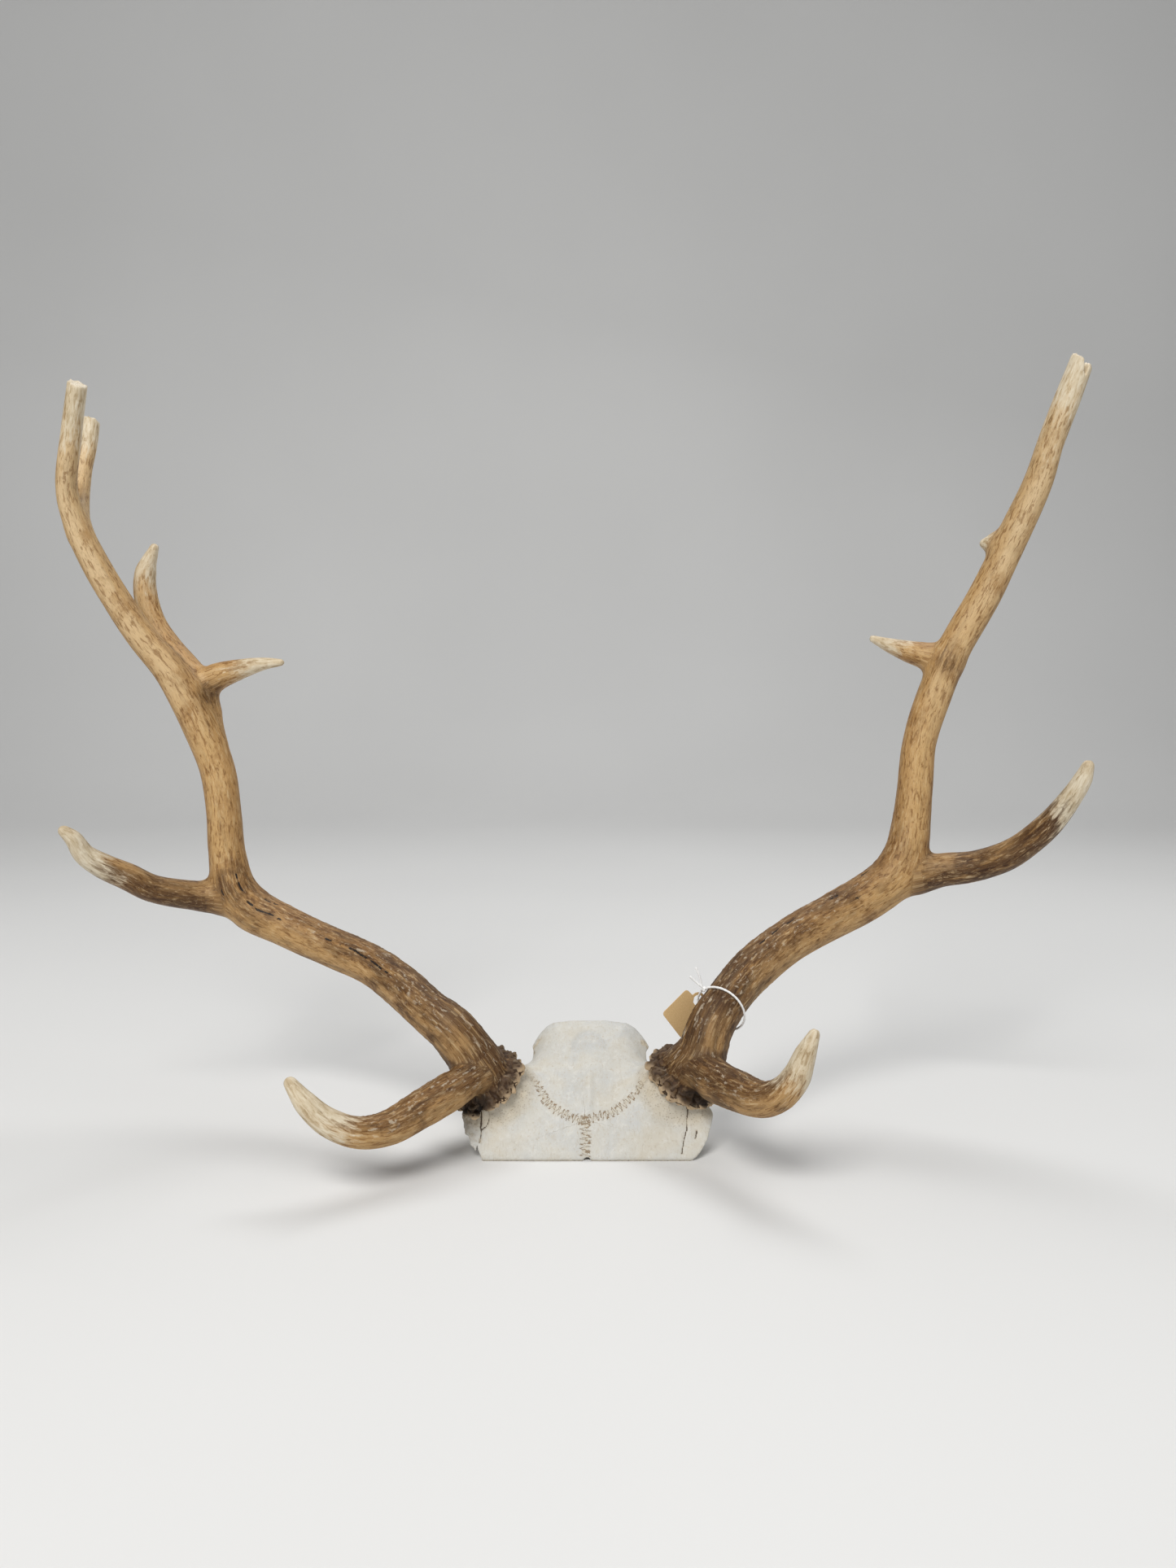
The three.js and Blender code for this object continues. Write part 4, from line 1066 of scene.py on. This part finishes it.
class Nodes:
    """Short calls for building a node material."""

    def __init__(self, name):
        self.material = bpy.data.materials.new(name)
        self.material.use_nodes = True
        self.tree = self.material.node_tree
        self.shader = self.tree.nodes["Principled BSDF"]

    def put(self, value, socket):
        if hasattr(value, "is_linked"):
            self.tree.links.new(value, socket)
        elif value is not None:
            is_colour = hasattr(socket.default_value, "__len__") and len(socket.default_value) == 4
            socket.default_value = (*value, 1) if is_colour and len(value) == 3 else value

    def add(self, kind, inputs=(), **settings):
        """A new node with its settings, and with its inputs filled by name or by number."""
        node = self.tree.nodes.new(kind)
        for key, value in settings.items():
            setattr(node, key, value)
        for key, value in dict(inputs).items():
            self.put(value, node.inputs[key])
        return node

    def attribute(self, name, vector=False):
        node = self.add("ShaderNodeAttribute", attribute_name=name)
        return node.outputs["Vector" if vector else "Fac"]

    def attributes(self, names):
        return [self.attribute(name) for name in names.split()]

    def object_place(self):
        return self.add("ShaderNodeTexCoord").outputs["Object"]

    def math(self, operation, a, b=None):
        return self.add("ShaderNodeMath", {0: a, 1: b}, operation=operation).outputs[0]

    def times(self, a, b):
        return self.math("MULTIPLY", a, b)

    def plus(self, a, b):
        return self.math("ADD", a, b)

    def minus(self, a, b):
        return self.math("SUBTRACT", a, b)

    def centred(self, value, size):
        """A value that swings about a half, turned into one that swings about zero."""
        return self.times(self.minus(value, 0.5), size)

    def scaled(self, vector, scale):
        scale = scale if hasattr(scale, "__len__") else (scale,) * 3
        return self.add("ShaderNodeMapping", {"Vector": vector, "Scale": scale}).outputs[0]

    def noise(self, vector, scale=1.0, detail=3.0, rough=0.55, distortion=0.0):
        return self.add("ShaderNodeTexNoise", {
            "Vector": self.scaled(vector, scale), "Scale": 1.0, "Detail": detail, "Roughness": rough,
            "Distortion": distortion}).outputs["Fac"]

    def cells(self, vector, scale):
        return self.add("ShaderNodeTexVoronoi", {
            "Vector": self.scaled(vector, scale), "Scale": 1.0}).outputs["Distance"]

    def ramp(self, value, stops):
        node = self.add("ShaderNodeValToRGB", {0: value})
        elements = node.color_ramp.elements
        while len(elements) < len(stops):
            elements.new(0.5)
        for element, (place, colour) in zip(elements, stops):
            element.position = place
            element.color = (*colour, 1)
        return node.outputs[0]

    def between(self, value, low, high):
        """0 to 1 as the value goes smoothly from low to high."""
        return self.add("ShaderNodeMapRange", {"Value": value, "From Min": low, "From Max": high},
                        interpolation_type="SMOOTHSTEP").outputs[0]

    def mix(self, share, a, b, blend="MIX"):
        return self.add("ShaderNodeMix", {"Factor": share, 6: a, 7: b}, data_type="RGBA",
                        blend_type=blend).outputs[2]

    def tint(self, base, value, low, high, share, colour, blend="MIX"):
        """The base with a share of a colour laid on as the value goes from low to high."""
        return self.mix(self.times(self.between(value, low, high), share), base, colour, blend)

    def bump(self, height, distance, strength):
        return self.add("ShaderNodeBump", {
            "Strength": strength, "Distance": distance, "Height": height}).outputs[0]

    def finish(self, colour, roughness, normal, specular=0.5):
        for key, value in (("Base Color", colour), ("Roughness", roughness), ("Normal", normal),
                           ("Specular IOR Level", specular)):
            self.put(value, self.shader.inputs[key])
        return self.material


def antler_material(name):
    n = Nodes(name)
    grain = n.attribute("grain", vector=True)
    place = n.object_place()
    age, tip, rough, pearl, groove, crack = n.attributes("age tip rough pearl groove crack")
    burr, broken, foot, rim, pit = n.attributes("burr broken foot rim pit")
    polish, hollow, stain = n.attributes("polish hollow stain")
    streak = n.noise(grain, (0.42, 0.42, 0.055), 5, 0.6, 0.6)
    dash = n.noise(grain, (0.62, 0.62, 0.14), 4, 0.62, 0.6)
    fibre = n.noise(grain, (2.2, 2.2, 0.3), 4, 0.62, 0.4)
    mottle = n.noise(place, 60, 4, 0.62)
    cloud = n.noise(place, 16, 3, 0.55)
    tone = n.plus(age, n.centred(cloud, 0.3))
    base = n.ramp(tone, [(0.0, (0.1, 0.048, 0.017)), (0.18, (0.165, 0.084, 0.03)),
                         (0.38, (0.28, 0.15, 0.052)), (0.58, (0.45, 0.26, 0.098)),
                         (0.78, (0.49, 0.302, 0.126)), (0.98, (0.57, 0.392, 0.2))])
    base = n.tint(base, streak, 0.5, 0.72, 0.45, (0.48, 0.275, 0.095))
    dark = n.plus(n.times(rough, 0.25), 0.28)
    base = n.tint(base, streak, 0.48, 0.3, dark, (0.055, 0.027, 0.011))
    # Painted highlight: a paler golden copy of the tone on the faces turned to the front.
    base = n.mix(n.times(polish, n.between(mottle, 0.27, 0.52)), base,
                 n.ramp(tone, [(0.08, (0.41, 0.245, 0.1)), (0.38, (0.5, 0.305, 0.124)),
                               (0.62, (0.55, 0.35, 0.152)), (0.88, (0.66, 0.485, 0.28))]))
    patchy = n.between(n.plus(n.times(mottle, 0.5), n.times(streak, 0.5)), 0.62, 0.4)
    base = n.mix(n.times(stain, patchy), base, (0.085, 0.04, 0.015))
    base = n.tint(base, dash, 0.48, 0.37, 0.8, (0.46, 0.36, 0.26), "MULTIPLY")
    base = n.tint(base, mottle, 0.5, 0.34, 0.45, (0.6, 0.5, 0.4), "MULTIPLY")
    base = n.tint(base, dash, 0.54, 0.66, 0.4, (0.64, 0.465, 0.25))
    base = n.tint(base, fibre, 0.46, 0.33, 0.5, (0.45, 0.37, 0.3), "MULTIPLY")
    base = n.tint(base, fibre, 0.57, 0.7, 0.32, (0.7, 0.56, 0.37))
    deep = n.plus(n.times(rough, 0.3), 0.12)
    base = n.tint(base, groove, 0.5, 1.0, deep, (0.035, 0.017, 0.008))
    # Painted shade: near black in the hollows of the surface.
    base = n.tint(base, hollow, 0.03, 0.28, 0.85, (0.028, 0.014, 0.007))
    uneven = n.minus(n.noise(grain, (1.7, 1.7, 0.7), 4, 0.65), 0.5)
    speck = n.plus(pearl, n.times(uneven, 0.9))
    speck = n.times(n.between(speck, 0.22, 0.55), n.between(pearl, 0.04, 0.2))
    base = n.mix(n.times(speck, 0.72), base, (0.48, 0.4, 0.295))
    base = n.mix(n.times(burr, 0.6), base, (0.062, 0.032, 0.014))
    # Painted shade: darker towards the foot of the antler.
    base = n.tint(base, foot, 0.2, 1.0, 0.55, (0.04, 0.02, 0.009))
    bead = n.minus(n.noise(place, 230, 3, 0.6), n.times(hollow, 0.8))
    bead = n.times(n.between(bead, 0.46, 0.6),
                  n.plus(n.times(rim, 0.9), n.times(burr, 0.06)))
    base = n.mix(bead, base, (0.66, 0.49, 0.31))
    creamy = n.ramp(n.plus(n.times(dash, 0.6), n.times(mottle, 0.4)),
                    [(0.36, (0.38, 0.275, 0.15)), (0.48, (0.6, 0.5, 0.345)), (0.62, (0.74, 0.665, 0.52))])
    blotch = n.plus(n.minus(streak, 0.5), n.minus(dash, 0.5))
    paleness = n.between(n.plus(tip, n.times(blotch, 1.1)), 0.2, 0.9)
    base = n.mix(n.times(paleness, 0.92), base, creamy)
    pores = n.between(n.cells(place, 950), 0.12, 0.32)
    face = n.mix(pores, (0.26, 0.18, 0.105), (0.66, 0.58, 0.45))
    base = n.mix(broken, base, face)
    # Painted shade: near black in and round the pits under the brow tines.
    base = n.mix(pit, base, n.ramp(mottle, [(0.4, (0.01, 0.006, 0.004)), (0.7, (0.075, 0.042, 0.02))]))
    splinter = n.times(n.minus(n.noise(grain, (1.6, 1.6, 0.35), 3), 0.5), 1.1)
    base = n.mix(n.between(n.plus(crack, n.times(splinter, crack)), 0.28, 0.6), base,
                 (0.014, 0.009, 0.006))
    height = n.plus(n.times(fibre, 0.5), n.times(dash, 0.6))
    height = n.plus(height, n.times(mottle, 0.35))
    strength = n.minus(1.0, n.times(tip, 0.7))
    normal = n.bump(n.times(height, strength), 0.0006, 0.7)
    gloss = n.plus(n.times(fibre, 0.22), n.times(rough, 0.14))
    gloss = n.plus(gloss, 0.33)
    return n.finish(base, gloss, normal, 0.26)


TOOTH_PERIOD = 2.9


def suture_line(n, u, v, place, reach, seed):
    """A looping line that wanders about the place where u is 0, as v runs along it: 1 on it."""
    def along_only(scale, offset, detail=2):
        joined_up = n.add("ShaderNodeCombineXYZ")
        n.put(v, joined_up.inputs[0])
        joined_up.inputs[1].default_value = seed + offset
        return n.noise(joined_up.outputs[0], (scale, 1, 1), detail)
    bent = n.plus(v, n.centred(n.noise(place, 0.5, 2), 3.2))
    phase = n.plus(n.times(bent, 2 * math.pi / TOOTH_PERIOD), n.centred(along_only(0.35, 0), 9.0))
    leaning = n.times(u, n.centred(along_only(0.3, 5), 3.4 / reach))
    phase = n.plus(phase, leaning)
    swing = n.math("SINE", phase)
    cube = n.times(n.times(swing, swing), swing)
    swing = n.minus(n.times(swing, 1.5), n.times(cube, 0.5))
    size = n.times(n.plus(n.times(along_only(0.8, 9), 1.5), 0.05), reach)
    off = n.minus(u, n.times(swing, size))
    off = n.math("ABSOLUTE", n.plus(off, n.centred(n.noise(place, 1.6, 3), 1.5)))
    steep = n.math("ABSOLUTE", n.math("COSINE", phase))
    thick = n.plus(n.times(n.noise(place, 1.1, 2), 0.8), 0.6)
    allowed = n.times(n.plus(n.times(steep, reach * 0.34), 0.32), thick)
    return n.between(n.math("DIVIDE", off, allowed), 1.3, 0.4)


def bone_material():
    n = Nodes("dry_bone")
    place = n.attribute("place", vector=True)
    top, cut, torn, rim, hollow = n.attributes("top cut torn around_burr hollow")
    cloud = n.noise(place, 0.05, 3, 0.55, 0.4)
    mottle = n.noise(place, 0.24, 4, 0.62, 0.5)
    grit = n.noise(place, 1.5, 4, 0.65)
    base = n.ramp(cloud, [(0.32, (0.55, 0.553, 0.535)), (0.5, (0.59, 0.578, 0.53)),
                          (0.66, (0.585, 0.552, 0.475))])
    # Painted shade: a darker blue-grey in the dips of the dome.
    base = n.mix(n.times(n.attribute("cool"), 0.7), base, (0.49, 0.502, 0.5))
    base = n.tint(base, mottle, 0.5, 0.7, 0.6, (0.665, 0.655, 0.615))
    base = n.tint(base, mottle, 0.47, 0.27, 0.42, (0.5, 0.455, 0.37))
    vein = n.noise(place, (0.8, 0.22, 0.22), 4, 0.68, 1.2)
    base = n.tint(base, vein, 0.47, 0.34, 0.42, (0.46, 0.41, 0.33))
    # Painted shade: darker brown in the hollows of the surface.
    base = n.tint(base, hollow, 0.02, 0.3, 0.6, (0.33, 0.26, 0.17))
    spots = n.times(n.between(n.noise(place, 0.75, 3, 0.6), 0.58, 0.72), 0.55)
    base = n.mix(spots, base, (0.47, 0.395, 0.29))
    pitted = n.times(n.between(n.cells(place, 0.85), 0.34, 0.1), n.between(rim, 0.1, 0.9))
    base = n.tint(base, rim, 0.2, 0.9, 0.55, (0.53, 0.455, 0.33))
    base = n.mix(n.times(pitted, 0.7), base, (0.3, 0.23, 0.15))
    lines = None
    for name, reach, seed in (("mid", 3.1, 3.1), ("left", 2.9, 11.7), ("right", 2.9, 23.9)):
        u, v = n.attributes(f"{name}_u {name}_v")
        line = suture_line(n, u, v, place, reach, seed)
        within = n.between(n.math("ABSOLUTE", u), reach * 1.25, reach * 0.95)
        if name != "mid":
            within = n.times(within, n.between(v, 44, 34))
        line = n.times(line, within)
        lines = line if lines is None else n.math("MAXIMUM", lines, line)
    lines = n.times(lines, top)
    broken_up = n.between(n.noise(place, 0.9, 3, 0.6), 0.34, 0.52)
    lines = n.times(lines, n.plus(n.times(broken_up, 0.7), 0.3))
    halo = n.times(n.times(n.attribute("seam"), n.between(grit, 0.35, 0.62)), 0.55)
    base = n.mix(halo, base, (0.49, 0.41, 0.275))
    base = n.mix(n.times(lines, 0.95), base, (0.235, 0.155, 0.08))
    frayed = n.times(n.noise(place, 1.3, 3), 0.5)
    crack = n.between(n.minus(n.attribute("cracks"), frayed), 0.22, 0.02)
    base = n.mix(crack, base, (0.085, 0.06, 0.038))
    holes = n.between(n.cells(place, 1.15), 0.42, 0.16)
    sawn = n.mix(n.times(holes, 0.85), (0.6, 0.53, 0.41), (0.2, 0.145, 0.09))
    opened = n.math("MAXIMUM", cut, torn)
    base = n.mix(opened, base, sawn)
    height = n.plus(n.times(mottle, 0.6), n.times(grit, 0.4))
    height = n.minus(height, n.times(lines, 0.9))
    height = n.minus(height, pitted)
    height = n.minus(height, n.times(n.times(holes, opened), 1.2))
    normal = n.bump(height, 0.0004, 0.6)
    roughness = n.plus(n.times(mottle, 0.2), 0.46)
    return n.finish(base, roughness, normal, 0.4)


def card_material():
    n = Nodes("kraft_card")
    place = n.attribute("sheet", vector=True)
    fibre = n.noise(place, (0.9, 3.4, 1), 4, 0.65, 0.8)
    cross = n.noise(place, (4.2, 1.1, 1), 4, 0.6, 0.8)
    base = n.ramp(fibre, [(0.3, (0.56, 0.375, 0.175)), (0.52, (0.66, 0.455, 0.225)),
                          (0.75, (0.74, 0.54, 0.3))])
    base = n.tint(base, cross, 0.6, 0.75, 0.5, (0.3, 0.175, 0.07))
    base = n.tint(base, cross, 0.36, 0.24, 0.4, (0.68, 0.49, 0.26))
    normal = n.bump(n.plus(fibre, cross), 0.00012, 0.5)
    return n.finish(base, 0.85, normal, 0.2)


def string_material():
    n = Nodes("white_cotton")
    place = n.object_place()
    fibre = n.noise(place, (1800, 1800, 1800), 3, 0.6)
    base = n.ramp(fibre, [(0.3, (0.8, 0.8, 0.79)), (0.7, (0.92, 0.92, 0.915))])
    return n.finish(base, 0.85, n.bump(fibre, 0.0001, 0.6), 0.2)


def stage_material():
    n = Nodes("pale_sweep")
    place = n.object_place()
    cloud = n.noise(place, 1.2, 2)
    base = n.ramp(cloud, [(0.3, (0.72, 0.72, 0.715)), (0.7, (0.76, 0.76, 0.755))])
    return n.finish(base, 0.75, None, 0.2)


def paint(made, material):
    made.data.materials.clear()
    made.data.materials.append(material)


# Building

cotton = string_material()
string, string_line = tag_string()
paint(string, cotton)
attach(string, "root")
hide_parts("tag_string")

knot = string_knot()
paint(knot, cotton)
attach(knot, "root")
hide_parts("string_knot")

tag = paper_tag()
paint(tag, card_material())
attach(tag, "root")
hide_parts("paper_tag")

left = antler("left")
paint(left, antler_material("left_antler_surface"))
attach(left, "root")
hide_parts("left_lower_beam", "left_brow_tine", "left_middle_tine", "left_upper_beam",
            "left_rear_top_tip", "left_back_tine", "left_inner_tine")

right = antler("right")
paint(right, antler_material("right_antler_surface"))
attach(right, "root")
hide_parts("right_lower_beam", "right_brow_tine", "right_middle_tine", "right_upper_beam",
            "right_inner_tine")

cap = skull_cap()
paint(cap, bone_material())
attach(cap, "root")
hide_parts("skull_cap")


# Floor, backdrop and light

FLOOR_FRONT = -3000.0
FLOOR_BACK = 1600
FLOOR_STEPS = (FLOOR_FRONT, -1500, 0, 900, FLOOR_BACK)
BEND_RADIUS = 900
BEND_STEPS = 12
BACKDROP_HEIGHT = 4000
HALF_FLOOR_WIDTH = 4000.0


def sweep():
    """A pale floor that curves up into a backdrop far behind."""
    profile = [(y, 0) for y in FLOOR_STEPS]
    for step in range(1, BEND_STEPS + 1):
        turn = math.pi / 2 * step / BEND_STEPS
        profile.append((FLOOR_BACK + BEND_RADIUS * math.sin(turn), BEND_RADIUS * (1 - math.cos(turn))))
    profile.append((FLOOR_BACK + BEND_RADIUS, BACKDROP_HEIGHT))
    points = [(x, y, z) for x in (-HALF_FLOOR_WIDTH, HALF_FLOOR_WIDTH) for y, z in profile]
    n = len(profile)
    faces = [[i, n + i, n + i + 1, i + 1] for i in range(n - 1)]
    made = mesh_object("pale_sweep", np.array(points), faces)
    paint(made, stage_material())


def softbox(name, place, aim, size, power, colour=(1, 1, 1)):
    data = bpy.data.lights.new(name, "AREA")
    data.shape = "RECTANGLE"
    data.size, data.size_y = size
    data.energy = power
    data.color = colour
    light = bpy.data.objects.new(name, data)
    light.location = place
    light.rotation_euler = (Vector(aim) - Vector(place)).to_track_quat("-Z", "Y").to_euler()
    bpy.context.scene.collection.objects.link(light)


sweep()
softbox("key", (-0.7, -2.0, 2.2), (0, 0, 0.2), (1.25, 1.25), 72, (1, 0.985, 0.96))
softbox("top", (0.35, 0.8, 1.9), (0, 0.05, 0.2), (1.5, 0.6), 15)
softbox("side", (1.9, -0.7, 0.9), (0, 0, 0.2), (0.7, 1.2), 5, (0.97, 0.985, 1))

world = bpy.data.worlds.new("studio")
world.use_nodes = True
world.node_tree.nodes["Background"].inputs["Color"].default_value = (0.82, 0.84, 0.86, 1)
world.node_tree.nodes["Background"].inputs["Strength"].default_value = 0.22
bpy.context.scene.world = world
bpy.context.scene.view_settings.view_transform = "Standard"
